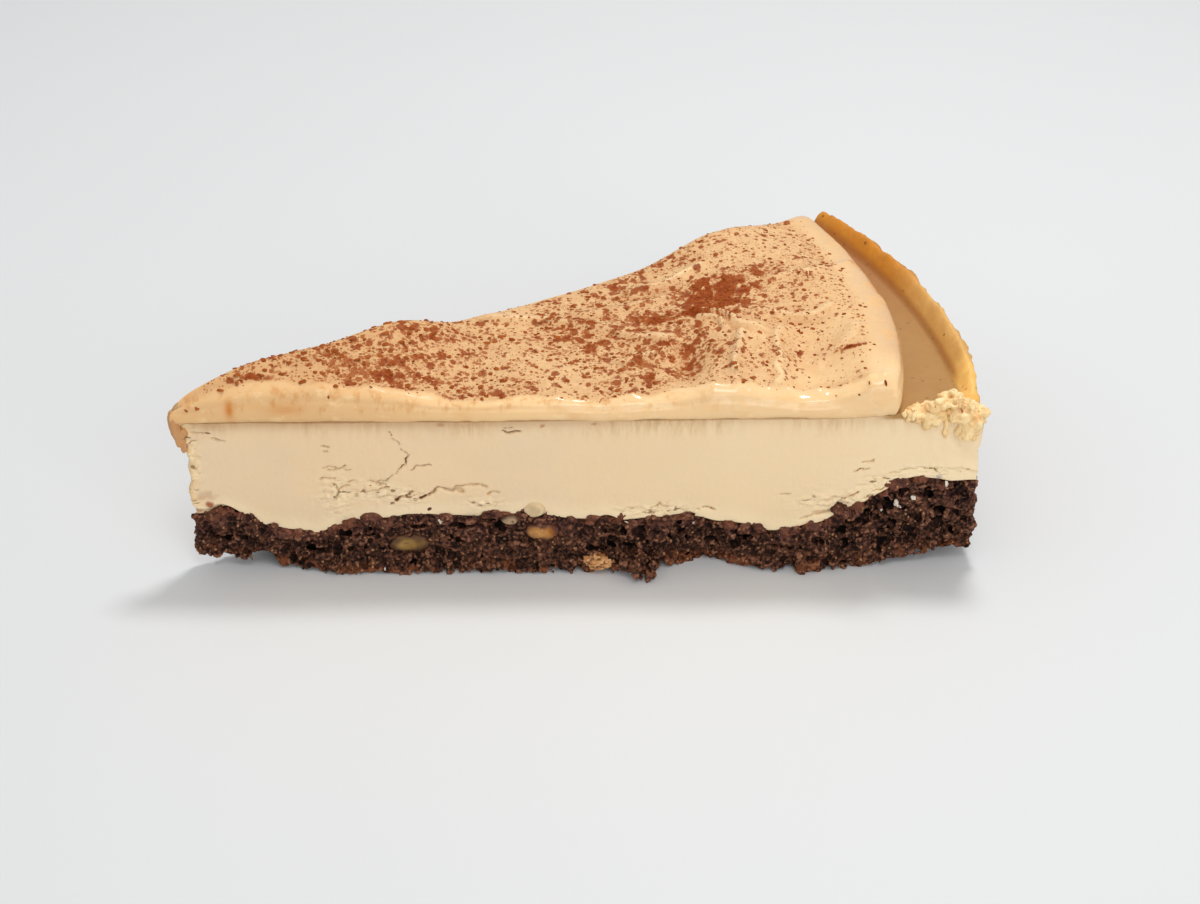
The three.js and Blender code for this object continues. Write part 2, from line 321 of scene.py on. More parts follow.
# Cracks in the filling's shown face, each as points (x, z) and a half width
CRACKS = [
    ([(38.1, 13.4), (39.2, 14.1), (40.3, 14.8), (41.2, 15.7), (41.8, 15.4), (42.7, 15)], 0.27),
    ([(42.2, 15.1), (43.3, 14.9), (44.9, 15)], 0.42),
    ([(44, 15.5), (45.1, 15.9), (46.2, 16.2), (47.7, 15.9), (48.8, 15.6)], 0.26),
    ([(34.2, 13.3), (35, 13.7), (35.6, 14.1)], 0.36),
    ([(35.7, 14.2), (36.4, 14.7), (37, 15)], 0.16),
    ([(33.3, 12.4), (33.8, 12.6)], 0.26),
    ([(36.3, 21.9), (35.8, 21.1), (35.9, 20.4), (35.1, 19.5), (34.5, 18.8), (34.4, 18.2), (33.5, 18),
      (32.9, 17.3), (32.5, 16.9), (31.3, 17.1)], 0.11),
    ([(33.2, 26.9), (34.6, 24.8), (35.5, 23.3), (36.3, 21.9)], 0.04),
    ([(36.9, 19.3), (37.8, 19.9), (38.5, 19.7), (40, 20)], 0.12),
    ([(22.2, 19.6), (23.4, 19.6), (24.5, 19.9), (25, 19.5), (26, 19.8)], 0.12),
    ([(23, 19), (24.1, 19.2), (25.6, 19.3), (27, 19)], 0.08),
    ([(22, 17.5), (22.9, 17.6), (24.4, 17.3)], 0.18),
    ([(24.4, 14), (24.7, 14.9), (25.7, 15.9), (26.5, 16.1)], 0.13),
    ([(24.7, 14.9), (24.3, 15.8), (23.7, 16.3)], 0.12),
    ([(26.5, 16.6), (27.1, 17), (27.8, 17.1)], 0.12),
    ([(24.4, 14), (24.2, 13.2)], 0.1),
    ([(28.6, 15.1), (30.3, 15.2), (31.6, 15.5), (33.1, 15.9)], 0.15),
    ([(29.8, 16.9), (31.3, 16.6), (32.7, 16.3)], 0.12),
    ([(30.9, 13.5), (32.2, 14.1), (34.1, 14.2)], 0.11),
    ([(49.3, 14.1), (50.2, 14.5), (51, 14.4)], 0.18),
    ([(22.6, 23.9), (23.5, 23.8)], 0.1),
    ([(22.9, 23.1), (23.4, 23.1)], 0.1),
    ([(101.4, 8.9), (102.8, 9.3), (104, 9.7)], 0.2),
    ([(104, 9.8), (105.3, 10.1), (106.7, 10.4)], 0.44),
    ([(106.9, 11.4), (107.4, 12.2), (108.8, 13), (110.5, 13.9)], 0.18),
    ([(112, 13), (113, 13.1)], 0.28),
    ([(113.3, 14.1), (114.1, 14.5), (115.1, 15.1)], 0.14),
    ([(111.1, 20.1), (112.8, 20.1)], 0.13),
    ([(109.8, 18.3), (110.6, 18.6), (112.2, 18.8)], 0.13),
    ([(115.6, 17.7), (117.8, 18.1), (120, 18.8), (123.2, 18.4)], 0.12),
    ([(98, 13.8), (99.5, 13.9)], 0.1),
    ([(84.2, 10.6), (85.3, 11.4), (86.8, 10.9)], 0.23),
    ([(76.2, 11.3), (77.6, 12.1), (79.2, 11.2)], 0.14),
    ([(52, 26.5), (53, 26.1), (54.4, 26.5)], 0.24),
    ([(52.4, 27.1), (53.6, 27.3)], 0.12),
    ([(5.4, 25.4), (7, 25)], 0.12),
    ([(3, 26.6), (4.6, 26.4)], 0.14),
]


def crack_depth(x, z):
    """How deep each place of the shown face lies in a crack, from 0 to 1."""
    wander_x = x + 0.28 * lumps(x, 0, z, 1.1, 21) + 0.12 * lumps(x, 0, z, 0.45, 24)
    wander_z = z + 0.28 * lumps(x, 9, z, 0.9, 22) + 0.12 * lumps(x, 9, z, 0.4, 25)
    deepest = np.zeros(x.shape)
    for path, half_width in CRACKS:
        for away, _ in stretches(path, wander_x, wander_z):
            deepest = np.maximum(deepest, bump(away, 0, 0.85 * half_width))
    return deepest * np.clip(0.72 + 0.7 * lumps(x, 3, z, 0.9, 23), 0, 1)


# Zones of the shown face where it is flaky: middle x and z, half sizes and strength
FLAKY_ZONES = [(24, 14, 2.2, 3.6, 1), (31, 15, 4, 2, 1), (37, 14, 3, 1.3, 1), (49, 12.5, 3, 1, 1),
               (77, 10.8, 6, 1.2, 1), (107, 12.3, 6, 1.8, 1), (115, 16, 4, 1.6, 1), (124, 18.5, 5, 1, 1),
               (0.8, 20, 1.8, 9, 1)]


def flakiness(x, z):
    return np.clip(hills(x, z, FLAKY_ZONES), 0, 1)


def slits(x, z):
    """Fine level slits in the flaky places, from 0 to 1."""
    pattern = lumps(x, 5, 2.6 * z, 1.2, 17) + 0.7 * lumps(x, 5, 2.2 * z, 0.6, 18)
    return flakiness(x, z) * smooth(pattern, 0.45, 0.85)


def face_relief(x, z):
    """How far the filling's shown face stands out: knife marks, flakes and cracks."""
    drag = 0.05 * lumps(x, 0, z / 3, 0.8, 11) * smooth(z, 23, 28) + 0.02 * lumps(x, 0, z / 6, 0.5, 12)
    flakes = 0.26 * flakiness(x, z) * (lumps(x, 0, 2.2 * z, 1.3, 13) + 0.9 * lumps(x, 0, 2 * z, 0.6, 14))
    broad = 0.25 * lumps(x, 0, z, 9, 15)
    fold = 0.5 * bump(z - 0.25 * bump(x, 126, 2.5) * 4, 18.6, 0.7) * smooth(x, 121, 125)
    fold = fold + 0.2 * lumps(x, 0, z, 1.3, 19) * smooth(x, 119, 127) * smooth(z, 17, 22)
    torn_top = fold + 0.5 * smooth(x, 112, 120) * smooth(z, 25, 30) * (lumps(x, 0, z, 1.6, 16) + 0.5)
    return drag + flakes - 0.3 * slits(x, z) + broad * smooth(x, 3, 15) + torn_top - 1.1 * crack_depth(x, z)


def drawn_in(r, height):
    """The filling's lower end curves in, so that it stays behind the base's brow."""
    return np.minimum(2.4, 0.24 * np.maximum(r, 0)) * (1 - smooth(height, 0.2, 1.5))


def filling_wall(r, t, w):
    """A point of the filling's skin at radius r, share round t and share of the height w."""
    bottom = base_top(r, t) - 1.6 + 1.5 * (1 - smooth(r, 4, 10))
    z = mix(bottom, filling_top(r, t), w)
    inward = drawn_in(r, z - bottom)
    front = face_relief(r, z) - inward
    back = 0.3 * lumps(r, 30, z, 7, 4) + 0.12 * lumps(r, 30, 2 * z, 1.7, 5) - inward
    rim = (r > RIM_RADIUS - 1e-6) * (0.45 * lumps(RIM_ARC * t, z, 0, 5, 6) + 0.3 * lumps(RIM_ARC * t, z, 0, 1.3, 7))
    tip = (TIP_REACH + TIP_LEAN * smooth(z, 22, FILLING_TOP) + 0.3 * lumps(z, 0, 0, 1.9, 9)
           + 0.2 * lumps(z, 4, 0, 0.8, 9) - 0.6 * inward)
    return on_slice(r, t, z, front, back, rim, tip)


def cheese_filling():
    """The filling with its browned lip, cracked and flaky on the shown face."""
    fine = 1
    along = stations((BLUNT_TIP, 0), (20, 0.35), (51, 0.16 * fine), (74, 0.35), (88, 0.25 * fine), (99, 0.35),
                     (116, 0.17 * fine), (RIM_RADIUS, 0.22 * fine))
    across = np.linspace(0, 1, int(160 / fine))
    up = np.linspace(0, 1, int(120 / fine))
    shell = Shell()
    front = shell.sheet(filling_wall(along[:, None], 0.0, up[None]))
    back = shell.sheet(filling_wall(along[::2][:, None], 1.0, up[None, ::2]), turned=True)
    rim = shell.sheet(filling_wall(np.array(RIM_RADIUS), across[:, None], up[None]))
    tip = shell.sheet(filling_wall(np.array(BLUNT_TIP), np.linspace(0, 1, 5)[:, None], up[None]), turned=True)
    outer = along[along > 111]
    top = shell.sheet(filling_wall(outer[:, None], across[None], np.array(1.0)))
    hidden = len(along) - len(outer)
    hidden_back = np.searchsorted(along[::2], outer[0])
    shell.stitch(front[:hidden + 1, -1], back[:hidden_back + 1, -1])
    shell.stitch([front[hidden, -1], back[hidden_back, -1]], top[0])
    shell.stitch(front[:, 0], back[:, 0])
    shell.stitch(rim[:, 0], [front[-1, 0], back[-1, 0]])
    shell.faces += [tip[:, -1].tolist(), tip[:, 0].tolist()]
    made = shell.piece("filling")
    paint_filling(made.data)
    return made


# Brown stains on the shown face: x, z, size and strength
STAINS = [(3.2, 12.6, 1, 0.95), (3, 14.4, 1.7, 0.3), (1.2, 11.2, 0.9, 0.6), (58.5, 27.4, 0.5, 0.6),
          (66.8, 27.7, 0.4, 0.7), (42, 27.9, 0.6, 0.4), (1.5, 15.5, 0.4, 0.5), (1.7, 19.7, 0.45, 0.4)]


def paint_filling(mesh):
    """Numbers for the filling's material: cracks, the browned lip and the knife's marks."""
    x, y, z = points_of(mesh).T
    r = np.hypot(x, y)
    share = np.arctan2(y, x) / SLICE_ANGLE
    shown = smooth(-y, -1.2, -0.2)
    foot = FILLING_TOP + RIM_RISE
    lip_face = smooth(r, LIP_START - 0.6, LIP_START + 1.2) * smooth(z, foot - 0.3, foot + 0.5)
    outer_wall = smooth(r, RIM_RADIUS - 1.1, RIM_RADIUS - 0.5) * smooth(share, 0.01, 0.05) * (1 - shown)
    browned = np.maximum(lip_face * (1 - shown), outer_wall)
    below_lip = 1 - smooth(z, 28, 30.5)
    torn = 1 - smooth(share + 0.03 * lumps(z, r, 0, 1.5, 33), 0.13 - 0.1 * below_lip, 0.19 + 0.2 * below_lip)
    stain = np.zeros(len(x))
    for stain_x, stain_z, size, strength in STAINS:
        away = np.hypot(x - stain_x, 1.4 * (z - stain_z)) / size
        stain = np.maximum(stain, strength * (1 - smooth(away + 0.5 * lumps(x, y, z, 0.6, 34), 0.4, 1.1)))
    paint(
        mesh,
        crack=crack_depth(x, z) * shown,
        slit=slits(x, z) * shown,
        stain=stain * shown,
        browned=browned,
        torn=browned * torn * (1 - 0.4 * below_lip),
        rise=smooth(z, foot, LIP_TOP + 0.6),
        far=smooth(share, 0.25, 0.95),
        shown_face=shown,
        shade=shown * bump(z, FILLING_TOP, 1.3) * mix(1, 0.35, smooth(x, 50, 90)),
        pale_foot=shown * (1 - smooth(z - base_top(r, 0.0), 0.5, 3.5)),
        flaky=flakiness(x, z) * shown,
        tip_edge=1 - smooth(x + 0.8 * lumps(x, y, z, 1.5, 35), 0.0, 2.6),
        groove=smooth(r, 112, 116) * smooth(z, FILLING_TOP - 0.5, FILLING_TOP + 0.1),
    )


# Cream

# Where the lines of its two sides cross in plan, and how far from there it starts
CREAM_APEX = -CREAM_OVERHANG / math.sin(SLICE_ANGLE / 2) * np.array(
    [math.cos(SLICE_ANGLE / 2), math.sin(SLICE_ANGLE / 2)])
CREAM_TIP = 0.9

# Share of its height that its upright wall takes on the hidden and on the shown side, width of the shown side's
# rounding, and how far it lies over the filling
CREAM_WALL = 0.45
FRONT_WALL = 0.68
FRONT_SHOULDER = 2.6
CREAM_LIFT = 0.3

# Rows of the cream's wall from the foot up: how far it stands out, and its share of the height
WALL_ROWS = [(-0.1, -0.01), (0.22, 0.06), (0.42, 0.22), (0.5, 0.4), (0.5, 0.58), (0.42, 0.75), (0.26, 0.89)]

# Marks that the spreading knife left: points (x, y) along a ridge, its height, and its half width on the left and on
# the right of the way it runs
KNIFE_RIDGES = [
    ([(84, 24.8), (86.1, 24.3), (87.8, 23.9), (88.8, 23.1), (90.3, 20.5), (91.9, 19), (94, 18.2)], 0.9, 1.3, 0.5),
    ([(84.6, 22.6), (86.6, 22.4), (88, 20.9), (89.4, 18.8)], 0.7, 0.6, 0.4),
    ([(71.6, 10.9), (74.5, 12), (76.5, 12.9), (79, 14.6)], 0.8, 1.1, 0.45),
    ([(95, 24.5), (101, 24.2), (104.5, 24), (107, 25.4)], 0.6, 1.3, 0.7),
    ([(50, 25.6), (54.6, 26.1), (60, 26.3), (68.2, 22.8), (74.8, 18.7), (79, 17.8)], 0.7, 2.2, 0.7),
    ([(74, 36), (80, 37.5), (86, 41)], 0.8, 1.8, 1),
    ([(66, 28), (73, 30), (80, 32.5)], 0.5, 1.6, 1),
    ([(97.8, 19), (97.5, 12), (97.1, 3)], 0.7, 1.4, 0.9),
    ([(91.5, 16), (90.4, 11), (89.5, 5)], 0.8, 1, 0.8),
    ([(104, 10), (108, 13), (111, 18)], 0.45, 1.4, 1.4),
    ([(20, 6), (30, 8), (42, 9.5)], 0.4, 1.6, 1.6),
    ([(99, 36), (106, 38), (112, 43)], 0.5, 1.6, 1.2),
]

# Broad humps and dents of the cream: middle x and y, half sizes and height
CREAM_HUMPS = [
    (94, 12, 5, 8, 1.6), (82.5, 11, 3.2, 7, -2), (74, 7, 6, 4, 0.4), (88, 29, 6, 3, -0.7), (62, 12, 8, 5, 0.35),
    (104, 20, 4, 8, -0.5), (111, 12, 3.5, 8, 0.45), (46, 9, 7, 4, -0.3), (84, 38, 5, 4, 0.5), (104, 34, 6, 5, 0.4),
]

# Small knobs on the cream's shown shoulder: middle x and y, half sizes and height
SHOULDER_KNOBS = [
    (90.2, 1.7, 0.8, 1.2, 0.45), (92.4, 1.5, 0.8, 1.2, 0.5), (96.3, 2, 1, 1.2, 0.45), (98.8, 1.6, 0.8, 1.2, 0.4),
    (103.4, 1.8, 1.1, 1.2, 0.6), (107.4, 1.6, 1.1, 1.2, 0.3), (111.4, 1.4, 0.8, 1.2, 0.45), (114, 1.6, 1.1, 1.2, 0.4),
    (86, 1.2, 1.2, 1.2, 0.3), (80.5, 1.6, 1.2, 1.2, 0.3), (73, 1.6, 1, 1.2, 0.35), (67.3, 1.8, 1, 1.2, 0.35),
    (60.5, 1.2, 1.2, 1.2, 0.25), (47, 1.2, 1.6, 1.2, 0.3), (31, 1.4, 1.5, 1.2, 0.25), (22.5, 1.2, 1.4, 1.2, 0.25),
]


def ridge_height(x, y):
    total = hills(x, y, CREAM_HUMPS, hills(x, y, SHOULDER_KNOBS))
    bent_x = x + 0.5 * lumps(x, y, 0, 2.4, 47)
    bent_y = y + 0.5 * lumps(x, y, 9, 2.4, 48)
    for path, height, left_width, right_width in KNIFE_RIDGES:
        nearest = 1e3
        for away, on_left in stretches(path, bent_x, bent_y):
            nearest = np.minimum(nearest, away / np.where(on_left, left_width, right_width))
        total = total + 1.3 * height * bump(nearest, 0, 1)
    return total


def cream_thickness(x, y):
    """The cream's height over the filling, before its edge is rounded."""
    r = np.hypot(x, y)
    t = share_round(x, y)
    near_front = 2.9 * (1 - smooth(r, 18, 50)) + 2.2 * bump(r, 88, 8) + 2.8 * smooth(r, 103, 113)
    near_back = (5.4 * (1 - smooth(r, 36, 57)) - 0.3 * bump(r, 33, 11) + 0.9 * bump(r, 56, 4)
                 + 3.8 * smooth(r, 86, 104) - 3.6 * smooth(r, 106, 121) - 0.3)
    thick = (CREAM_THICKNESS + mix(near_front, near_back, smooth(t, 0, 1)) + 1.4 * bump(r, 92, 16) * bump(t, 0.5, 0.3)
             + 0.25 * lumps(x, y, 0, 11, 1) + 0.18 * lumps(x, y, 0, 4.5, 2) + ridge_height(x, y))
    return thick * mix(0.57, 1, smooth(r, -3, 14))


def cream_end(t):
    """Radius at which the cream ends towards the rim."""
    return mix(CREAM_END_FRONT, CREAM_END_BACK, t ** 0.75)


def quarter_round(distance, width):
    inside = 1 - np.clip(distance / width, 0, 1)
    return np.sqrt(1 - inside * inside)


def cream_plan(u, t):
    """Plan position on the cream, and how far its rounded edge has risen there."""
    end = cream_end(t) - CREAM_APEX[0]
    r = mix(CREAM_TIP, end, u)
    angle = SLICE_ANGLE * t
    narrow = 0.16 * r + 0.9
    risen = (quarter_round(r * np.sin(angle), np.minimum(FRONT_SHOULDER, narrow))
             * quarter_round(r * np.sin(SLICE_ANGLE - angle), np.minimum(CREAM_SHOULDER, narrow))
             * quarter_round(end - r, 3.0) * quarter_round(r - CREAM_TIP, 5))
    return CREAM_APEX[0] + r * np.cos(angle), CREAM_APEX[1] + r * np.sin(angle), risen


def plan_shares(x, y):
    """The shares along and across the cream at a plan position."""
    x, y = x - CREAM_APEX[0], y - CREAM_APEX[1]
    t = share_round(x, y)
    return (np.hypot(x, y) - CREAM_TIP) / (cream_end(t) - CREAM_APEX[0] - CREAM_TIP), t


def cream_floor(x, y):
    r = np.minimum(np.hypot(x, y), LIP_START - 0.5)
    return FILLING_TOP + RIM_RISE * smooth(r, 106, LIP_START)


def cream_surface(x, y, risen):
    wall = mix(CREAM_WALL, FRONT_WALL, smooth(from_back(x, y) - y, -2, 6))
    return cream_floor(x, y) + CREAM_LIFT + cream_thickness(x, y) * mix(wall, 1, risen)


def edge_spread(count):
    """Shares from 0 to 1 that lie closer together near both ends."""
    s = np.linspace(0, 1, count)
    return 0.45 * s + 0.55 * (1 - np.cos(np.pi * s)) / 2


def coffee_cream():
    """The spread cream: a soft top, a rounded edge and a slightly bulging wall down to the filling."""
    fine = 1
    along = edge_spread(int(460 / fine))
    across = edge_spread(int(230 / fine))
    shell = Shell()
    x, y, risen = cream_plan(along[:, None], across[None])
    shell.sheet(np.stack([x, y, cream_surface(x, y, risen)], -1))

    # Once round the edge: the shown side, the rim's side, the hidden side and the tip
    edge_u = np.concatenate([along, np.ones(len(across) - 1), along[-2::-1], np.zeros(len(across) - 2)])
    edge_t = np.concatenate([np.zeros(len(along)), across[1:], np.ones(len(along) - 1), across[-2:0:-1]])
    x, y, risen = cream_plan(edge_u, edge_t)
    top = cream_surface(x, y, risen)
    out_x, out_y = outward(x, y)
    low = cream_floor(x, y) + 0.55 + 0.22 * lumps(x, y, 0, 4.5, 43) + 0.14 * lumps(x, y, 0, 1.4, 44)
    sheet = [np.stack([x - out_x, y - out_y, cream_floor(x, y) - 0.05], -1)]
    for out, share in WALL_ROWS:
        fullness = out * (1 + 0.35 * lumps(x, y, 3 * share, 6, 41)) if out > 0 else out
        sheet.append(np.stack([x + out_x * fullness, y + out_y * fullness, mix(low, top, share)], -1))
    sheet.append(np.stack([x, y, top], -1))
    wall = shell.sheet(np.array(sheet))
    for row in range(len(sheet) - 1):
        shell.faces.append([wall[row, -1], wall[row + 1, -1], wall[row + 1, 0], wall[row, 0]])
    count = len(along)
    back_start = count + len(across) - 2
    shell.stitch(wall[0, :count], wall[0, back_start:back_start + count][::-1])
    shell.stitch(wall[0, count - 1:back_start + 1], wall[0, [count - 1, back_start]])
    tip_row = np.append(wall[0, back_start + count - 1:], wall[0, 0])
    shell.stitch(tip_row, tip_row[[0, -1]])
    made = shell.piece("cream")
    paint_cream(made.data)
    return made


def paint_cream(mesh):
    """Numbers for the cream's material: cocoa, crests and dents for painted light and shade, painted shade at its end
    by the rim, and the stains and gloss of its wall.
    """
    x, y, z = points_of(mesh).T
    inside_end = cream_end(share_round(x, y)) - np.hypot(x, y)
    inside = smooth(y, 0.5, 3) * smooth(inside_end, 2, 7) * smooth(from_back(x, y), 1, 4)
    smear = bump(x, 8.2, 0.7) * bump(z, 31.5, 1.6) + 0.5 * bump(x, 17, 3) * bump(z, 31.5, 1)
    paint(
        mesh,
        cocoa=cocoa_density(x, y, z),
        tan=1 - smooth(x, 18, 62),
        crest=mix(0.5, standing_out(mesh, 40), inside),
        end=(1 - smooth(inside_end, -1, 8)) * smooth(y, 2, 12),
        gloss=mix(0.08, 1, smooth(x, 54, 68)),
        smear=smear * smooth(-y, -1.5, 0.5),
        wall=smooth(-y, -0.9, 0.1),
        seep=smooth(-y, -2.0, -0.3) * smooth(z - cream_floor(x, y), 1.6, 3.2) * (1 - smooth(x, 70, 96)),
    )


def outward(x, y):
    """The way out, in plan, at each point of a closed line that runs anticlockwise."""
    along_x = np.roll(x, -1) - np.roll(x, 1)
    along_y = np.roll(y, -1) - np.roll(y, 1)
    out = np.array([along_y, -along_x]) / (np.hypot(along_x, along_y) + 1e-9)
    for _ in range(60):
        out = (np.roll(out, 1, 1) + 2 * out + np.roll(out, -1, 1)) / 4
    return out / np.hypot(*out)


# Drops that make up the sag of cream at the tip: middle x, y, z and three radii
SAG_DROPS = [(-1.1, 0.1, 28.6, 1, 1.1, 2.1), (-0.75, 0, 27, 0.8, 0.9, 1.6), (-0.3, 0.1, 25.4, 0.6, 0.8, 1.4),
             (0.3, -0.2, 26.6, 0.8, 0.5, 1), (0.1, 0.1, 24, 0.45, 0.6, 1.2)]


def tip_sag():
    """At the tip the cream sags down in front of the filling, and thins out on its way."""
    shell = Shell()
    drops = np.array(SAG_DROPS)
    shell.add(*many_lumps(drops[:, :3], drops[:, 3:], 4, 0.35, upright=True))
    made = shell.joined("cream_sag", 0.15)
    points = points_of(made.data).T
    ragged = 0.16 * lumps(*points, 1.1, 45) + 0.08 * lumps(*points, 0.5, 46)
    move_points(made.data, pushed_out(made.data, ragged))
    return made


# Patches of cocoa: middle x and y, half sizes, and how much they add
COCOA_PATCHES = [
    (88.5, 31.5, 5, 5.2, 0.74), (81, 25, 7, 2.4, 0.5), (94, 37, 8, 4, 0.18), (70, 20, 12, 3, 0.15),
    (76, 9, 7, 4, 0.1), (25, 7, 14, 5, 0.22), (11.5, 1.6, 2.6, 1.1, 0.9), (93, 16, 4, 5, -0.15),
    (108, 22, 8, 16, -0.1), (105, 6, 12, 4.5, -0.26), (82, 40, 7, 3, -0.25), (87, 7, 4, 5, -0.15),
    (118, 40, 9, 20, -0.12), (109.2, 11.4, 2.4, 0.5, 0.7), (83.5, 13, 3.5, 6, 0.24), (78, 15.5, 5, 2.5, 0.14),
]


def cocoa_density(x, y, z):
    """How thick the cocoa lies, from 0 to 1. None falls on the steep edges."""
    inside_front = y - 0.5 * smooth(x, 84, 92) + 0.9 * lumps(x, 0, 0, 4, 51)
    inside_end = cream_end(share_round(x, y)) - np.hypot(x, y)
    density = hills(x, y, COCOA_PATCHES, 0.5 + 0.12 * lumps(x, y, 0, 9, 52))
    level = smooth(inside_front, 0.3, 1.9) * smooth(from_back(x, y), -0.4, 1.0) * smooth(inside_end, 2.5, 7)
    return np.clip(density, 0, 1.1) * level * smooth(z, FILLING_TOP + 1.4, FILLING_TOP + 2.2)


def cocoa_clumps():
    """Clumps of cocoa lying on the cream, largest near the tip and most where it lies thick."""
    tries = 15000
    r = 126 * np.sqrt(draws.uniform(0.0005, 1, tries))
    angle = SLICE_ANGLE * draws.uniform(0.0, 1.0, tries)
    x, y = r * np.cos(angle), r * np.sin(angle)
    u, t = plan_shares(x, y)
    z = cream_surface(x, y, cream_plan(u, t)[2])
    likely = cocoa_density(x, y, z) ** 1.3
    kept = (draws.uniform(0, 1, tries) < likely * 0.45) & (u > 0.01) & (u < 0.985)
    centres = np.stack([x, y, z], 1)[kept]
    count = len(centres)
    size = 0.1 + 0.36 * draws.uniform(0, 1, count) ** 3.5
    size *= mix(1.1, 0.8, smooth(x[kept], 30, 100))
    radii = np.stack([size * draws.uniform(0.9, 1.5, count), size, 0.03 + size * 0.25], 1)
    big = size > 0.27
    shell = Shell()
    shell.add(*many_lumps(centres[big], radii[big], 2, 0.5, upright=True))
    shell.add(*many_lumps(centres[~big], radii[~big], 1, 0.4, upright=True))
    return shell.piece("cocoa_clumps", weld=False)


# Base

def foot_reach(r, w, other_side):
    """How far a cut face of the base stands out at a height share w: most at the foot, and broken in places."""
    reach = smooth(r, 10, 26) * (1 - smooth(r, 104, 124))
    broken = 4.2 * bump(r, 52 if other_side else 85.5, 6)
    return np.clip((1 - w) ** 1.3 * (BASE_BULGE * reach - broken), -0.2 * r, 4)


def base_core(shell, inset):
    """The base's body, drawn in so that the crumbs on it make its faces."""
    along = stations((BLUNT_TIP + inset, 0), (RIM_RADIUS - inset, 1.0))
    across = np.linspace(0, 1, 60)
    up = np.linspace(0, 1, 12)

    def sheet(r, t, w, turned=False):
        z = mix(underside(r) + 0.5, base_top(r, t) - 0.5, w)
        front = foot_reach(r, w, False) - inset
        back = foot_reach(r, w, True) - inset
        shell.sheet(on_slice(r, t, z, front, back, tip=TIP_REACH), turned)

    sheet(along[:, None], 0.0, up[None])
    sheet(along[:, None], 1.0, up[None], turned=True)
    sheet(along[-1], across[:, None], up[None])
    sheet(along[0], across[:, None], up[None], turned=True)
    sheet(along[:, None], across[None], np.array(1.0))
    sheet(along[:, None], across[None], np.array(0.0), turned=True)


# Layers of crumbs on the base's faces: how many to each 100 mm of face, smallest and largest radius, how deep the
# crumbs' middles lie at most and at least, and how much they gather into clusters
CRUMB_LAYERS = [
    (1200, 0.5, 0.95, 0.8, 0.4, 0.2),
    (2600, 0.26, 0.62, 0.65, 0.15, 0.4),
    (4400, 0.15, 0.32, 0.35, 0, 0.8),
]


def crumbs_on_faces(shell):
    """Crumbs of many sizes all over the cut faces and the rim, with hollows between them."""
    for side, length in (("front", 1.3), ("back", 1.1), ("rim", 0.62)):
        for per_length, smallest, largest, deepest, shallowest, gather in CRUMB_LAYERS:
            count = int(per_length * length)
            w = draws.uniform(0, 1, count)
            size = smallest + (largest - smallest) * draws.uniform(0, 1, count) ** 2
            if side == "rim":
                t = draws.uniform(0, 1, count)
                r = np.full(count, RIM_RADIUS)
                reach = 0.0
                place = RIM_ARC * t
            else:
                t = np.full(count, float(side == "back"))
                r = place = draws.uniform(BLUNT_TIP, RIM_RADIUS, count)
                reach = foot_reach(r, w, side == "back")
            cluster = lumps(place, t * 40, 12 * w, 3.2, 81) + 0.6 * lumps(place, t * 40, 12 * w, 1.4, 82)
            kept = cluster > (2 * draws.uniform(0, 1, count) - 1.35) * gather - 0.7 * (1 - gather)
            z = mix(underside(r) + 0.8 * size, base_top(r, t) - 0.7 * size, w)
            out = {side: reach + draws.uniform(-deepest, -shallowest, count)}
            centres = on_slice(r, t, z, tip=TIP_REACH, **out)
            # What shows of the nuts stays free
            for (nut_x, nut_y, nut_z), (half_x, _, half_z), _ in INCLUSIONS.values():
                away = np.hypot((centres[:, 0] - nut_x) / (half_x + 0.4 * size),
                                (centres[:, 2] - nut_z) / (half_z + 0.4 * size))
                kept &= (away > 0.95) | (centres[:, 1] > nut_y + 2.2)
            radii = size[:, None] * draws.uniform(0.7, 1.35, (count, 3))
            rounds = 2 if largest > 0.6 else 1
            shell.add(*many_lumps(centres[kept], radii[kept], rounds, 0.55))


# Larger crumbs that hang on the shown face: x, y, z and size
HANGING_CRUMBS = [
    (75.2, -3.9, 2, 1.5), (76, -4.6, 1.3, 0.9), (73.4, -2.6, 2.7, 1.9), (77.6, -1.6, 3.4, 1.4), (70.6, -2.4, 1.3, 1),
    (101.5, -2.1, 2.3, 1.7), (72.6, -2.9, 1.9, 1.2), (69.6, -2.4, 3.8, 1), (2.4, 0.5, 8.4, 1.1), (3.8, 0.2, 8.6, 0.9),
    (1.6, 0.6, 7.4, 1), (58.7, -0.5, 10.5, 0.4), (55.5, -0.4, 10.3, 0.35), (54.4, -0.4, 8.6, 0.4),
]


def hanging_crumbs(shell):
    for x, y, z, size in HANGING_CRUMBS:
        count = int(26 * size)
        centres = np.array([[x, y, z]]) + draws.normal(0, 0.45 * size, (count, 3))
        small = draws.uniform(0.22, 0.5, (count, 1)) * size * draws.uniform(0.8, 1.2, (count, 3))
        centres[:, 2] = np.maximum(centres[:, 2], small.max(1) + 0.05)
        shell.add(*many_lumps(centres, small, 2, 0.4))


# Rounded humps where the base's top meets the filling on the cut faces: place, size and rise over the top
BROW_HUMPS = [
    (5, 1.3, -0.2), (9, 1.3, 0.1), (13, 1, 0.1), (27.5, 1.2, 0.2), (32, 1.7, 0.5), (35.5, 1.2, 0.2),
    (38.6, 1.4, 0.9), (41.5, 1.1, 0.4), (46.5, 1.3, 0.1), (50.6, 1.7, 0.9), (56, 1, 0.1), (63.2, 1.4, 0.9),
    (66, 1, 0.1), (71, 0.8, 0.4), (75, 0.7, 0.3), (82.5, 1.2, 0.7), (79, 0.8, 0.3), (89.5, 1.1, 0.1),
    (94, 0.9, 0.1), (104, 1.2, 0.2), (108, 1.8, 0.9), (112, 1.3, 0), (118, 1.5, 0), (123, 1.3, 0.1),
]


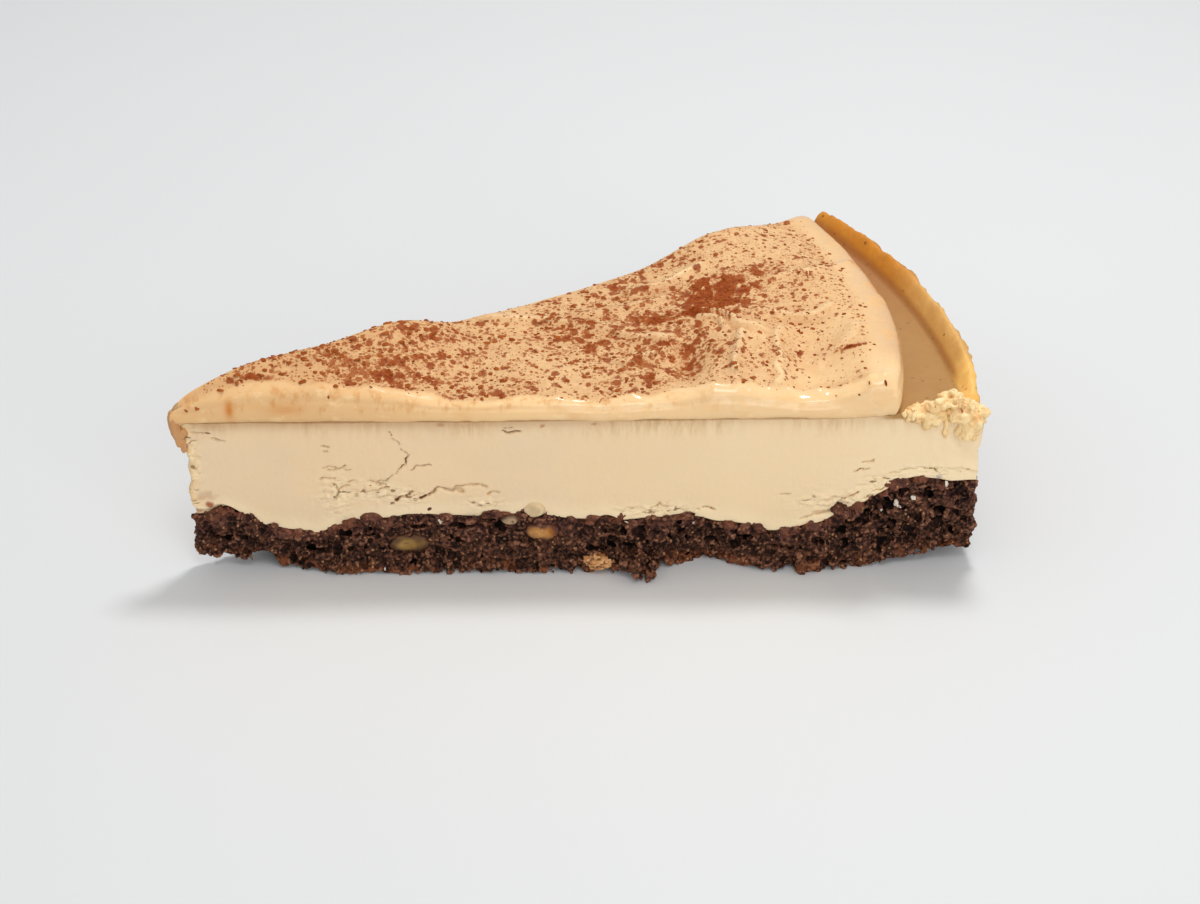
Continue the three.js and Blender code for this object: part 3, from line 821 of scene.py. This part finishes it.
def soft_brow(shell):
    place, size, rise = np.array(BROW_HUMPS).T
    for other_side in (0.0, 1.0):
        x = place + other_side * draws.uniform(-3, 3, len(place))
        z = base_top(x, other_side) - 0.75 * size + rise
        centres = on_slice(x, other_side, z, -0.8 * size, -0.8 * size)
        shell.add(*many_lumps(centres, np.stack([size * 1.6, size, size * 0.95], 1), 3, 0.7, upright=True))


def chocolate_base():
    """The crumbly base, as one skin over its core and thousands of crumbs, with hollows and a fine crumb."""
    shell = Shell()
    base_core(shell, 0.9)
    crumbs_on_faces(shell)
    hanging_crumbs(shell)
    soft_brow(shell)
    made = shell.joined("base", 0.2)
    mesh = made.data
    x, y, z = points_of(mesh).T
    face = face_share(x, y, z)
    hollow = 0.6 * lumps(x, y, z, 2.4, 63) + 0.5 * lumps(x, y, z, 1.1, 64)
    hollow = 0.75 * smooth(hollow, 0.12, 0.6) * face + 1.2 * voids(x, z) * smooth(-y, -2.2, -1.0)
    grit = (0.35 * lumps(x, y, z, 1.7, 60) + 0.3 * (np.abs(lumps(x, y, z, 0.85, 61)) - 0.3)
            + 0.22 * (np.abs(lumps(x, y, z, 0.45, 62)) - 0.3))
    points = pushed_out(mesh, grit * mix(0.35, 1.2, face) - hollow)
    notch = np.clip(1.25 - np.hypot((x - 11.6) / 2.2, (z - 0.7) / 3.1), 0, 1) * (y < 6)
    points[:, 2] += 6.5 * notch * (z < 3.6) * np.clip((3.6 - z) / 3.6, 0, 1)
    points[:, 2] = np.maximum(points[:, 2], 0.02)
    move_points(mesh, points)
    drop_loose_bits(mesh)
    paint_base(mesh)
    return made


def drop_loose_bits(mesh):
    """Keeps only the largest connected part, so that no crumb floats."""
    first, second = numbers_of(mesh.edges, "vertices", 2, int).T
    label = np.arange(len(mesh.vertices))
    while True:
        lower = label.copy()
        lowest = np.minimum(label[first], label[second])
        np.minimum.at(lower, label[first], lowest)
        np.minimum.at(lower, label[second], lowest)
        lower = lower[lower]
        if np.array_equal(lower, label):
            break
        label = lower
    loose = label != np.bincount(label).argmax()
    form = bmesh.new()
    form.from_mesh(mesh)
    form.verts.ensure_lookup_table()
    bmesh.ops.delete(form, geom=[form.verts[i] for i in np.flatnonzero(loose)], context="VERTS")
    form.to_mesh(mesh)
    form.free()


# Voids in the shown face, under the brow, which the painted shade makes black: x, z and half sizes
VOIDS = [
    (110.8, 8.6, 1.5, 0.7), (113.4, 10, 1.8, 0.8), (115.8, 11.8, 1.3, 1.1), (117.9, 14, 1.8, 0.8),
    (121.6, 13.7, 2.2, 0.6), (104.3, 4.9, 1, 0.6), (86.6, 4, 1.3, 0.8), (82, 4.6, 1.4, 0.6),
    (70, 6.9, 1.8, 0.5), (45, 8.3, 2.4, 0.35), (49.8, 9, 1.8, 0.4), (38.6, 8.2, 2, 0.35),
    (28, 6.6, 2.6, 0.35), (67.6, 4.1, 2.6, 0.4), (73, 4.2, 1.2, 0.5), (14, 5.6, 1.5, 0.35),
    (92, 5.4, 1.6, 0.35), (98.4, 4, 1.4, 0.4), (20, 3.9, 1.6, 0.35), (5.2, 5.8, 1.6, 0.4),
]


def voids(x, z):
    total = np.zeros(x.shape)
    for void_x, void_z, half_x, half_z in VOIDS:
        away = np.hypot((x - void_x) / half_x, (z - void_z) / half_z) + 0.9 * lumps(x, 7, z, 0.8, 65)
        total = np.maximum(total, 1 - smooth(away, 0.5, 1.3))
    return total


def face_share(x, y, z):
    """1 on the base's cut faces and rim, fading to 0 under the filling, near the brow and on the underside."""
    r = np.hypot(x, y)
    out = np.maximum(np.maximum(-y, -from_back(x, y)), r - RIM_RADIUS)
    return smooth(out, -2.2, -1.0) * (1 - smooth(z - base_top(r, share_round(x, y)), 0.4, 1.6))


def paint_base(mesh):
    """Numbers for the base's material: pits, crests, the toasted foot and the smooth brow under the filling."""
    x, y, z = points_of(mesh).T
    r = np.hypot(x, y)
    w = np.clip((z - underside(r)) / (base_top(r, 0.0) - underside(r)), 0, 1)
    out_front = -y - foot_reach(r, w, False)
    out_back = -from_back(x, y) - foot_reach(r, w, True)
    out = np.maximum(np.maximum(out_front, out_back), r - RIM_RADIUS)
    paint(
        mesh,
        proud=smooth(out, -1.9, -0.1),
        crest=standing_out(mesh, 5),
        foot=1 - smooth(z - underside(r) + 0.8 * lumps(x, y, z, 3, 66), 0.4, 3.6),
        upper=smooth(w + 0.12 * lumps(x, y, z, 4, 67), 0.55, 0.85),
        brow=smooth(z - base_top(r, share_round(x, y)), -1.9, -0.6),
    )


def standing_out(mesh, rounds):
    """How much each point stands out of its surroundings, from 0 in a cleft to 1 on a crest."""
    points = points_of(mesh)
    ends = numbers_of(mesh.edges, "vertices", 2, int)
    first, second = ends.T
    count = np.bincount(ends.ravel(), minlength=len(points))
    softened = points.T
    for _ in range(rounds):
        softened = np.array([(np.bincount(first, line[second], len(points))
                              + np.bincount(second, line[first], len(points))) / count for line in softened])
    height = ((points - softened.T) * numbers_of(mesh.vertex_normals, "vector", 3)).sum(1)
    return np.clip(0.5 + 0.5 * height / np.percentile(np.abs(height), 90), 0, 1)


# Nuts and pieces that show in the base: middle x, y, z, their radii, and which look they have
INCLUSIONS = {
    "nut_left": ((36.0, 0.5, 5.0), (3.6, 2.8, 1.75), "almond"),
    "nut_middle": ((58.2, 0.6, 6.8), (3.2, 2.7, 1.7), "toasted"),
    "nut_upper": ((57.0, 1.0, 11.1), (1.9, 1.9, 1.6), "pale"),
    "nut_small": ((52.8, 0.9, 9.1), (1.7, 1.7, 1.1), "grey"),
    "toasted_crumb": ((67.6, -1.6, 2.1), (2.4, 2.0, 1.25), "crumb"),
}


def inclusion(name):
    """A nut, cut flat where the knife went through it, or the toasted crumb, which is rough all over."""
    centre, radii, look = INCLUSIONS[name]
    centre = np.array(centre)
    rough = look == "crumb"
    shape, faces = ball(5)
    uneven = 1 + 0.16 * lumps(*(shape + centre).T, 0.9, 75)
    points = shape * uneven[:, None] * radii + centre
    x, y, z = points.T
    if rough:
        way_out = points - centre
        way_out /= np.linalg.norm(way_out, axis=1, keepdims=True)
        grain = 0.35 * lumps(x, y, z, 0.9, 71)
        for grain_size, height in ((0.65, 0.55), (0.35, 0.3)):
            grain = grain + height * (np.abs(lumps(x, y, z, grain_size, 72)) - 0.3)
        points = points + way_out * grain[:, None]
        points[:, 2] = np.maximum(points[:, 2], 0.05)
    else:
        cut = (-0.9 if name == "nut_left" else -0.5) + 0.12 * lumps(x, 0, z, 1.5, 73)
        points[:, 1] = np.maximum(y, cut)
    shell = Shell()
    shell.add(points, faces)
    made = shell.piece(name + "_piece", weld=False)
    x, y, z = points.T
    across = (x - centre[0]) / radii[0]
    height = (z - centre[2]) / radii[2]
    border = smooth(np.hypot(across, height) + 0.25 * lumps(x, 3, z, 1.1, 74), 0.35, 0.9)
    paint(made.data, border=1 - smooth(grain, -0.3, 0.15) if rough else border,
          below=smooth(-height - 0.4 * across, -0.3, 0.7))
    return made


# Flaps that hang from the heap over the shown face: x, z and length
TORN_FLAPS = [(119.4, 28.6, 1), (121, 28.2, 1.6), (122.6, 28.4, 1.3), (124.2, 27.6, 1.8), (126.2, 28.2, 1.6),
              (127.6, 28.4, 1.8), (128.8, 27.4, 1.7), (129.1, 25.2, 1)]

# Sizes of crumbs in the heap: how many, smallest and largest radius, and how much they keep low
TORN_LAYERS = [(34, 0.9, 1.7, 1.3), (90, 0.4, 0.9, 0.9), (110, 0.15, 0.4, 0.7)]

# Brown spots on the heap: x, z and size
BROWN_SPOTS = [(118.6, 30.4, 0.9), (118.4, 28.7, 0.8), (126.3, 30.2, 0.5), (122.2, 31, 0.4)]


def torn_crumbs():
    """The heap of filling that the knife dragged up along its top edge, by the rim."""
    shell = Shell()
    for count, smallest, largest, rise_power in TORN_LAYERS:
        x = draws.uniform(0, 1, count) ** 0.75 * 13.5 + 117
        height = filling_top(np.minimum(x, LIP_START), 0.0)
        near_heap = smooth(x, 116.5, 122)
        size = (smallest + (largest - smallest) * draws.uniform(0, 1, count) ** 1.6) * mix(0.35, 1, near_heap)
        rise = (0.1 + 2.6 * bump(x, 124.6, 3.4)) * draws.uniform(0, 1, count) ** rise_power
        y = draws.uniform(-0.5, 2.2, count) * mix(0.4, 1, near_heap)
        z = height - 0.8 * size + rise * (1 - 0.2 * np.abs(y - 0.6))
        centres = np.stack([np.minimum(x, RIM_RADIUS - 0.6 - 0.9 * size), y + 0.35, z], 1)
        shell.add(*many_lumps(centres, size[:, None] * draws.uniform(0.35, 1.5, (count, 3)), 3, 0.8))
    for x, z, length in TORN_FLAPS:
        shell.add(*many_lumps(np.array([[x, 0.0, z]]), np.array([[0.8, 0.4, length]]), 3, 0.7, upright=True))
    made = shell.joined("torn_crumbs", 0.16)
    mesh = made.data
    points = points_of(mesh).T
    ragged = (0.5 * lumps(*points, 2.2, 90) + 0.5 * (0.3 - np.abs(lumps(*points, 1.2, 91)))
              + 0.3 * (0.3 - np.abs(lumps(*points, 0.55, 92))))
    move_points(mesh, pushed_out(mesh, ragged))
    x, y, z = points_of(mesh).T
    brown = 0
    for brown_x, brown_z, size in BROWN_SPOTS:
        brown = np.maximum(brown, bump(np.hypot(x - brown_x, z - brown_z), 0, size))
    paint(mesh, crest=standing_out(mesh, 12), brown=brown * smooth(lumps(x, y, z, 0.7, 93), -0.3, 0.3))
    return made


# White flakes in the base: x, y, z and size
WHITE_FLAKES = [(41.3, -0.6, 9.4, 0.45), (116.9, -0.5, 12.2, 0.7), (117.6, -0.4, 11.4, 0.4),
                (119.8, -0.5, 13.3, 0.5), (123.7, -0.2, 17.2, 0.5), (125, -0.4, 15.9, 0.5), (32, -2.3, 0.9, 0.35),
                (114.6, -0.5, 10.9, 0.35), (72.2, -0.7, 9, 0.3), (83.4, -0.4, 8.6, 0.35)]

# Specks on the cream's shown edge: x, z and size
EDGE_SPECKS = [(1.2, 31.2, 0.42), (3, 31.6, 0.45), (7.2, 30.2, 0.3), (24.3, 33.4, 0.3), (31, 34.3, 0.35),
               (45, 33, 0.35), (111.2, 34.9, 0.34), (113.8, 34.9, 0.62), (109.6, 33.2, 0.24), (106, 32.6, 0.2)]


def small_bits(name, centres, size, proportions, roughness):
    """A piece of small lumps, whose radii are their size times three proportions."""
    shell = Shell()
    shell.add(*many_lumps(centres, size[:, None] * proportions, 3, roughness))
    return shell.piece(name, weld=False)


def white_flakes():
    rows = np.array(WHITE_FLAKES)
    return small_bits("white_flakes", rows[:, :3], rows[:, 3], (0.75, 0.4, 0.7), 1.1)


def edge_specks():
    x, z, size = np.array(EDGE_SPECKS).T
    return small_bits("edge_specks", np.stack([x, cream_front_y(x, z), z], 1), size, (1, 0.3, 0.8), 0.45)


def cream_front_y(x, z):
    """Where the cream's front edge lies at a height, found by trying places across it."""
    tries = np.linspace(-0.6, 6, 200)
    found = []
    for place, height in zip(x, z):
        u, t = plan_shares(place, tries)
        above = cream_surface(place, tries, cream_plan(np.clip(u, 0, 1), t)[2]) >= height
        found.append(tries[np.argmax(above)] if above.any() else 2.0)
    return np.array(found)


# Materials

def srgb(*color):
    """A colour given as 0 to 255 on screen, as the linear numbers a shader takes."""
    shares = [c / 255 for c in color]
    return [c / 12.92 if c <= 0.04045 else ((c + 0.055) / 1.055) ** 2.4 for c in shares] + [1.0]


class Look:
    """A node material and its colour so far. Sizes are in millimetres, and colours are 0 to 255 on screen or sockets.
    A value is a number, a socket, or the name of a number that was painted on the mesh."""

    def __init__(self, name):
        self.material = bpy.data.materials.new(name)
        self.material.use_nodes = True
        self.tree = self.material.node_tree
        self.shader = self.tree.nodes["Principled BSDF"]
        self.place = self.node("TexCoord", {})["Object"]
        self.color = None

    def node(self, kind, inputs, **settings):
        made = self.tree.nodes.new("ShaderNode" + kind)
        for name, value in settings.items():
            setattr(made, name, value)
        for name, value in inputs.items():
            self.feed(made.inputs[name], value)
        return made.outputs

    def feed(self, socket, value):
        if isinstance(value, str):
            value = self.node("Attribute", {}, attribute_name=value)["Fac"]
        if isinstance(value, bpy.types.NodeSocket):
            self.tree.links.new(value, socket)
        else:
            socket.default_value = value

    def stretched(self, stretch):
        """The place, squeezed along each axis by its own factor."""
        return self.node("Mapping", {"Vector": self.place, "Scale": stretch})["Vector"]

    def noise(self, size, detail=3.0, roughness=0.55, stretch=(1, 1, 1), warp=0.0):
        return self.node("TexNoise", {"Vector": self.stretched(stretch), "Scale": 1000 / size, "Detail": detail,
                                      "Roughness": roughness, "Distortion": warp})["Fac"]

    def cells(self, size, stretch=(1, 1, 1), wander=0.25):
        """Distance to the nearest of scattered points, and that point's own random number."""
        scatter = self.node("TexNoise", {"Vector": self.place, "Scale": 2200 / size})["Color"]
        inputs = {0: scatter, 1: (wander * size / 1000,) * 3, 2: self.stretched(stretch)}
        shifted = self.node("VectorMath", inputs, operation="MULTIPLY_ADD")
        made = self.node("TexVoronoi", {"Vector": shifted["Vector"], "Scale": 1000 / size})
        return made["Distance"], self.node("SeparateColor", {"Color": made["Color"]})["Red"]

    def maths(self, operation, a, b):
        return self.node("Math", {0: a, 1: b}, operation=operation)["Value"]

    def times(self, *factors):
        product = factors[0]
        for factor in factors[1:]:
            product = self.maths("MULTIPLY", product, factor)
        return product

    def step(self, value, low, high):
        """A soft step of a number between two levels."""
        inputs = {"Value": value, "From Min": low, "From Max": high}
        return self.node("MapRange", inputs, interpolation_type="SMOOTHSTEP")["Result"]

    def blend(self, share, *colors):
        a, b = (c if isinstance(c, bpy.types.NodeSocket) else srgb(*c) for c in colors)
        return self.node("Mix", {0: share, 6: a, 7: b}, data_type="RGBA")[2]

    def mottled(self, a, b, *noise):
        return self.blend(self.noise(*noise), a, b)

    def lay(self, color, *shares):
        """Lays a colour over the one so far, as thickly as the product of the shares says."""
        self.color = self.blend(self.times(*shares), self.color, color)

    def relief(self, height, size):
        """Bumps of a size in millimetres."""
        bumps = self.node("Bump", {"Distance": size / 1000, "Height": height})["Normal"]
        self.feed(self.shader.inputs["Normal"], bumps)

    def soft_inside(self, weight, depth):
        """Light that enters the food and comes out up to a depth in millimetres away."""
        self.shader.inputs["Subsurface Weight"].default_value = weight
        self.shader.inputs["Subsurface Scale"].default_value = depth / 1000
        self.shader.inputs["Subsurface Radius"].default_value = (1.0, 0.62, 0.34)

    def finish(self, roughness, **settings):
        """Feeds the shader, whose sockets are named in small letters with underscores."""
        self.feed(self.shader.inputs["Base Color"], self.color)
        for name, value in dict(settings, roughness=roughness).items():
            self.feed(self.shader.inputs[name.replace("_", " ").title().replace("Ior", "IOR")], value)
        return self.material


def filling_look():
    look = Look("filling")
    look.color = look.mottled((230, 203, 165), (236, 209, 171), 9, 2)
    place = look.node("SeparateXYZ", {"Vector": look.place})
    # Painted light: the face is painted lighter towards the rim
    look.lay((242, 217, 177), look.step(place["X"], -0.03, 0.05))
    look.lay((240, 209, 162), look.step(look.noise(26, 2), 0.42, 0.62), 0.35)
    # Upright marks that the knife dragged down from the cream
    patches = look.step(look.noise(14, 3), 0.38, 0.62)
    near_top = look.times(look.step(place["Z"], 0.0238, 0.0284), "shown_face", patches)
    look.lay((196, 156, 108), near_top, look.step(look.noise(1.3, 4, 0.65, (1, 1, 0.2)), 0.4, 0.66), 0.6)
    look.lay((246, 218, 168), near_top, look.step(look.noise(1.1, 4, 0.6, (1, 1, 0.25), 0.5), 0.56, 0.7), 0.7)
    look.lay((182, 140, 94), "shade", 0.5)
    # The warm, rough edge at the tip
    look.lay((236, 200, 140), "tip_edge", 0.7)
    # Pale flaky places and the pale line over the base
    flakes = look.times("flaky", look.step(look.noise(1.0, 5, 0.65), 0.46, 0.58))
    look.lay((249, 229, 188), look.maths("MAXIMUM", flakes, look.times("pale_foot", 0.7)), 0.65)
    look.lay((140, 98, 58), "flaky", look.step(look.noise(0.6, 4, 0.7, (1, 1, 1.8)), 0.6, 0.67), 0.7)
    # The floor of the groove is darker, and brown towards the far side
    groove = look.mottled((166, 122, 68), (180, 138, 80), 4, 3)
    look.lay(look.blend(look.times("far", 0.85), groove, (158, 100, 62)), "groove")
    # The browned lip
    amber = look.mottled((190, 116, 24), (212, 142, 42), 2.4, 4)
    yellow = look.mottled((218, 168, 92), (234, 192, 120), 2.0, 4)
    amber = look.blend(look.times(look.step("far", 0.7, 0.1), 0.7), amber, yellow)
    # Painted shade: the lip is painted darker brown towards its foot, where it meets the groove
    amber = look.blend(look.times(look.step("rise", 0.55, 0.0), 0.8), amber, (156, 96, 46))
    look.lay(look.blend("torn", amber, look.mottled((228, 160, 62), (248, 208, 126), 1.8, 4)), "browned")
    distance, chance = look.cells(1.6)
    speck = look.times(look.step(distance, 0.24, 0.12), look.maths("GREATER_THAN", chance, 0.72))
    where = look.maths("MAXIMUM", look.times("browned", look.step("rise", 0.1, 0.7)), look.times("groove", 0.5))
    look.lay((104, 62, 24), speck, where, 0.75)
    # Painted shade in the fine slits
    look.lay((132, 90, 52), look.step("slit", 0.2, 0.6), 0.8)
    look.lay((160, 88, 44), "stain")
    # Painted shade inside the cracks: brown at their sides and nearly black deep in them
    look.lay((128, 84, 48), look.step("crack", 0.16, 0.45))
    look.lay((40, 18, 8), look.step("crack", 0.36, 0.62))
    look.relief(look.noise(0.9, 5, 0.6), 0.1)
    look.soft_inside(0.15, 0.8)
    return look.finish(look.step(look.noise(3, 3), -0.6, 1.9), ior=1.42, specular_ior_level=0.35)


def torn_look():
    look = Look("torn_filling")
    look.color = look.blend(look.step(look.noise(2.0, 4), 0.4, 0.6), (236, 198, 138), (247, 217, 162))
    # Painted shade: the heap is painted darker in its clefts
    look.lay((214, 166, 108), look.step("crest", 0.45, 0.05), 0.8)
    look.lay((222, 158, 82), look.step(look.noise(3.0, 3), 0.58, 0.7), 0.5)
    look.lay((158, 86, 38), look.step("brown", 0.3, 0.8))
    look.relief(look.noise(0.5, 4), 0.08)
    look.soft_inside(0.2, 0.7)
    return look.finish(0.45, specular_ior_level=0.4)


def grains(look, size, density, reach, soft=0.08, stretch=(1, 1, 1)):
    """Ragged dots of a size. The denser the cocoa, the more of them there are and the larger they get."""
    distance, chance = look.cells(size, stretch, 0.45)
    room = look.maths("SUBTRACT", look.times(density, 1.5), look.times(chance, 0.9))
    return look.step(look.maths("SUBTRACT", look.times(room, reach), distance), -soft / 2, soft)


def cream_look():
    look = Look("cream")
    look.color = look.mottled((236, 196, 142), (242, 206, 154), 8, 2)
    look.lay((216, 168, 114), "tan", 0.5)
    look.lay((226, 174, 112), look.step(look.noise(3.5, 3, 0.6, (0.5, 1, 1)), 0.5, 0.72), "wall", 0.45)
    look.lay((250, 220, 168), look.step(look.noise(2.2, 3, 0.6, (0.6, 1, 1)), 0.56, 0.7), "wall", 0.35)
    # Painted light and shade of the relief: crests are painted paler and dents darker, where cocoa also gathers
    look.lay((253, 226, 176), look.step("crest", 0.58, 0.9), 0.7)
    look.lay((184, 126, 78), look.step("crest", 0.46, 0.05), 0.75)
    # Painted shade where the cream rounds down at its end by the rim
    look.lay((204, 152, 98), "end", 0.7)
    # Brown that seeps down from the cocoa, and smears of it
    look.lay((206, 138, 72), look.step(look.noise(1.7, 3, 0.6, (1, 1, 0.4)), 0.5, 0.68), "seep", 0.5)
    look.lay((204, 120, 34), "smear", 0.9)
    look.lay((190, 136, 90), look.step("cocoa", 0.0, 0.6), look.step(look.noise(1.4, 5, 0.75), 0.1, 0.6), 0.62)
    # Cocoa lies in clusters: dust, small grains and larger blots
    cluster = look.step(look.noise(2.2, 3, 0.6, (1, 0.8, 1)), 0.34, 0.62)
    local = look.times("cocoa", look.maths("ADD", look.times(cluster, 0.62), 0.78))
    look.lay((160, 86, 34), grains(look, 0.5, local, 0.62), 0.65)
    look.lay((152, 74, 24), grains(look, 0.95, local, 0.58), 0.8)
    blot = look.blend(look.step(look.noise(0.7, 3), 0.35, 0.65), (128, 50, 10), (154, 74, 24))
    for size, reach in ((1.7, 0.5), (3.1, 0.4)):
        look.lay(blot, grains(look, size, local, reach, 0.12, (1, 0.85, 1)), 0.88)
    clean = look.times(look.step("cocoa", 0.34, 0.06), look.step(look.noise(3.5, 3), 0.34, 0.52), "gloss")
    look.relief(look.noise(1.4, 4, 0.6), 0.06)
    look.soft_inside(0.2, 0.8)
    return look.finish(0.7, coat_weight=clean, coat_roughness=0.12, coat_ior=1.5, ior=1.45, specular_ior_level=0.15)


def cocoa_look():
    look = Look("cocoa")
    look.color = look.blend(look.step(look.noise(1.5, 3), 0.35, 0.65), (138, 66, 24), (166, 88, 38))
    look.lay((100, 46, 20), look.step(look.noise(6, 2), 0.62, 0.74), 0.5)
    look.relief(look.noise(0.25, 4, 0.7), 0.08)
    return look.finish(0.95, specular_ior_level=0.05)


def base_look():
    look = Look("base")
    middle = look.blend(look.step(look.noise(2.2, 5, 0.65), 0.4, 0.6), (28, 13, 10), (74, 46, 34))
    upper = look.blend(look.step(look.noise(2.8, 5, 0.65), 0.4, 0.6), (38, 20, 18), (98, 62, 53))
    look.color = look.blend("upper", middle, upper)
    look.lay((136, 76, 42), "foot", look.step(look.noise(2.6, 4, 0.6), 0.46, 0.58), 0.75)
    # Fine crumbs: each small cell has a shade of its own, and a few are pale
    _, chance = look.cells(0.42)
    look.lay((118, 74, 52), look.step(chance, 0.5, 0.95), 0.6)
    look.lay((22, 10, 7), look.step(chance, 0.3, 0.05), 0.6)
    distance, chance = look.cells(0.6)
    look.lay((184, 136, 92), look.step(distance, 0.45, 0.25), look.maths("GREATER_THAN", chance, 0.88), 0.75)
    # Painted light: crumb tips are painted lighter
    look.lay((160, 110, 84), look.step("crest", 0.6, 1.0), look.step(look.noise(0.9, 3), 0.4, 0.62), 0.7)
    look.lay((128, 76, 54), "brow", look.step(look.noise(4, 4), 0.44, 0.6), 0.6)
    # Painted shade: clefts and what lies deep are painted nearly black
    black = (12, 4, 3)
    look.color = look.blend(look.step("crest", 0.0, 0.45), look.blend(0.65, look.color, black), look.color)
    look.color = look.blend(look.step("proud", 0.15, 0.75), black, look.color)
    look.relief(look.noise(0.28, 5, 0.7), 0.16)
    return look.finish(look.step(look.noise(1.3, 3), -0.6, 1.2), specular_ior_level=0.12)


def nut_look(name, inner, outer, spots, border):
    """The cut face of a nut: paler below, and darker and browner towards its border."""
    look = Look(name)
    look.color = look.blend(look.step(look.noise(2.6, 3), 0.36, 0.64), inner, outer)
    look.lay(outer, "below", 0.5)
    look.lay(spots, look.step(look.noise(0.8, 4), 0.58, 0.74))
    look.lay(spots, look.step(look.noise(0.4, 4, 0.7), 0.45, 0.7), 0.35)
    look.lay(border, "border")
    look.relief(look.noise(0.7, 4), 0.12)
    look.soft_inside(0.2, 0.8)
    return look.finish(0.5, specular_ior_level=0.3)


def floor_look():
    look = Look("floor")
    look.color = look.mottled((214, 215, 215), (219, 220, 220), 180, 2)
    return look.finish(0.6, specular_ior_level=0.25)


# The pieces, each on the slice's one body

def dress(piece, material, slot, *nodes):
    piece.data.materials.append(material)
    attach(piece, "root")
    if nodes:
        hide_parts(*nodes)


# Looks of the nuts and flakes: inner and outer colour, spots and border
NUT_COLORS = {
    "almond": ((138, 104, 50), (164, 128, 68), (116, 80, 40), (88, 58, 36)),
    "toasted": ((160, 94, 32), (200, 146, 82), (130, 72, 30), (92, 54, 42)),
    "pale": ((194, 170, 130), (206, 182, 142), (176, 148, 108), (224, 198, 156)),
    "grey": ((150, 126, 96), (178, 152, 116), (120, 90, 66), (92, 64, 50)),
    "white_flake": ((212, 198, 182), (230, 220, 206), (180, 156, 132), (196, 180, 160)),
    "crumb": ((186, 122, 68), (226, 172, 114), (150, 90, 46), (104, 56, 28)),
}
nut_looks = {name: nut_look(name, *colors) for name, colors in NUT_COLORS.items()}
cream_material = cream_look()
cocoa_material = cocoa_look()
dress(cheese_filling(), filling_look(), "cheese_filling", "cheese_filling")
dress(torn_crumbs(), torn_look(), "cheese_filling")
dress(coffee_cream(), cream_material, "coffee_cream", "coffee_cream")
dress(tip_sag(), cream_material, "coffee_cream")
dress(cocoa_clumps(), cocoa_material, "coffee_cream")
dress(edge_specks(), cocoa_material, "coffee_cream")
dress(chocolate_base(), base_look(), "chocolate_base", "chocolate_base")
dress(white_flakes(), nut_looks["white_flake"], "chocolate_base")
for node_name, (_, _, nut_kind) in INCLUSIONS.items():
    nut_slot = "toasted_crumb" if node_name == "toasted_crumb" else "nut"
    dress(inclusion(node_name), nut_looks[nut_kind], nut_slot, node_name)


# Floor, light and camera

def floor():
    mesh = bpy.data.meshes.new("floor")
    half = 2.5
    mesh.from_pydata([(-half, -half, 0), (half, -half, 0), (half, half, 0), (-half, half, 0)], [], [(0, 1, 2, 3)])
    mesh.materials.append(floor_look())
    made = placed("floor", mesh)


def area_light(name, place, aim, size, power, color=(1.0, 1.0, 0.99)):
    """A lamp at its place, turned so that its -Z points at its aim."""
    light = bpy.data.lights.new(name, "AREA")
    light.shape = "RECTANGLE"
    light.size, light.size_y = size
    light.energy = power
    light.color = color
    lamp = placed(name, light)
    lamp.location = place
    dx, dy, dz = (a - p for a, p in zip(aim, place))
    lamp.rotation_euler = (math.atan2(math.hypot(dx, dy), -dz), 0, math.atan2(-dx, dy))


def world_light(strength):
    world = bpy.data.worlds.new("surroundings")
    world.use_nodes = True
    background = world.node_tree.nodes["Background"]
    background.inputs["Color"].default_value = srgb(250, 250, 252)
    background.inputs["Strength"].default_value = strength
    bpy.context.scene.world = world


def camera():
    """The camera that was fitted to the photo."""
    data = bpy.data.cameras.new("camera")
    data.lens = 72
    data.sensor_width = 36
    data.clip_start = 0.01
    made = placed("camera", data)
    made.location = (-0.0012, -0.36254, 0.2323)
    made.rotation_euler = (math.radians(57.63), 0, math.radians(-0.835))
    bpy.context.scene.camera = made


floor()
world_light(0.6)
area_light("overhead_window", (0.1, 0.16, 0.54), (0, 0, 0.02), (0.11, 0.11), 1.5)
area_light("front_window", (0.05, -0.3, 0.56), (0.03, -0.02, 0.03), (0.15, 0.2), 0.48, (1.0, 1.0, 1.0))
area_light("front_fill", (0.3, -0.8, 0.36), (0, 0, 0.02), (0.7, 0.5), 2.3)
camera()
bpy.context.scene.view_settings.view_transform = "Standard"
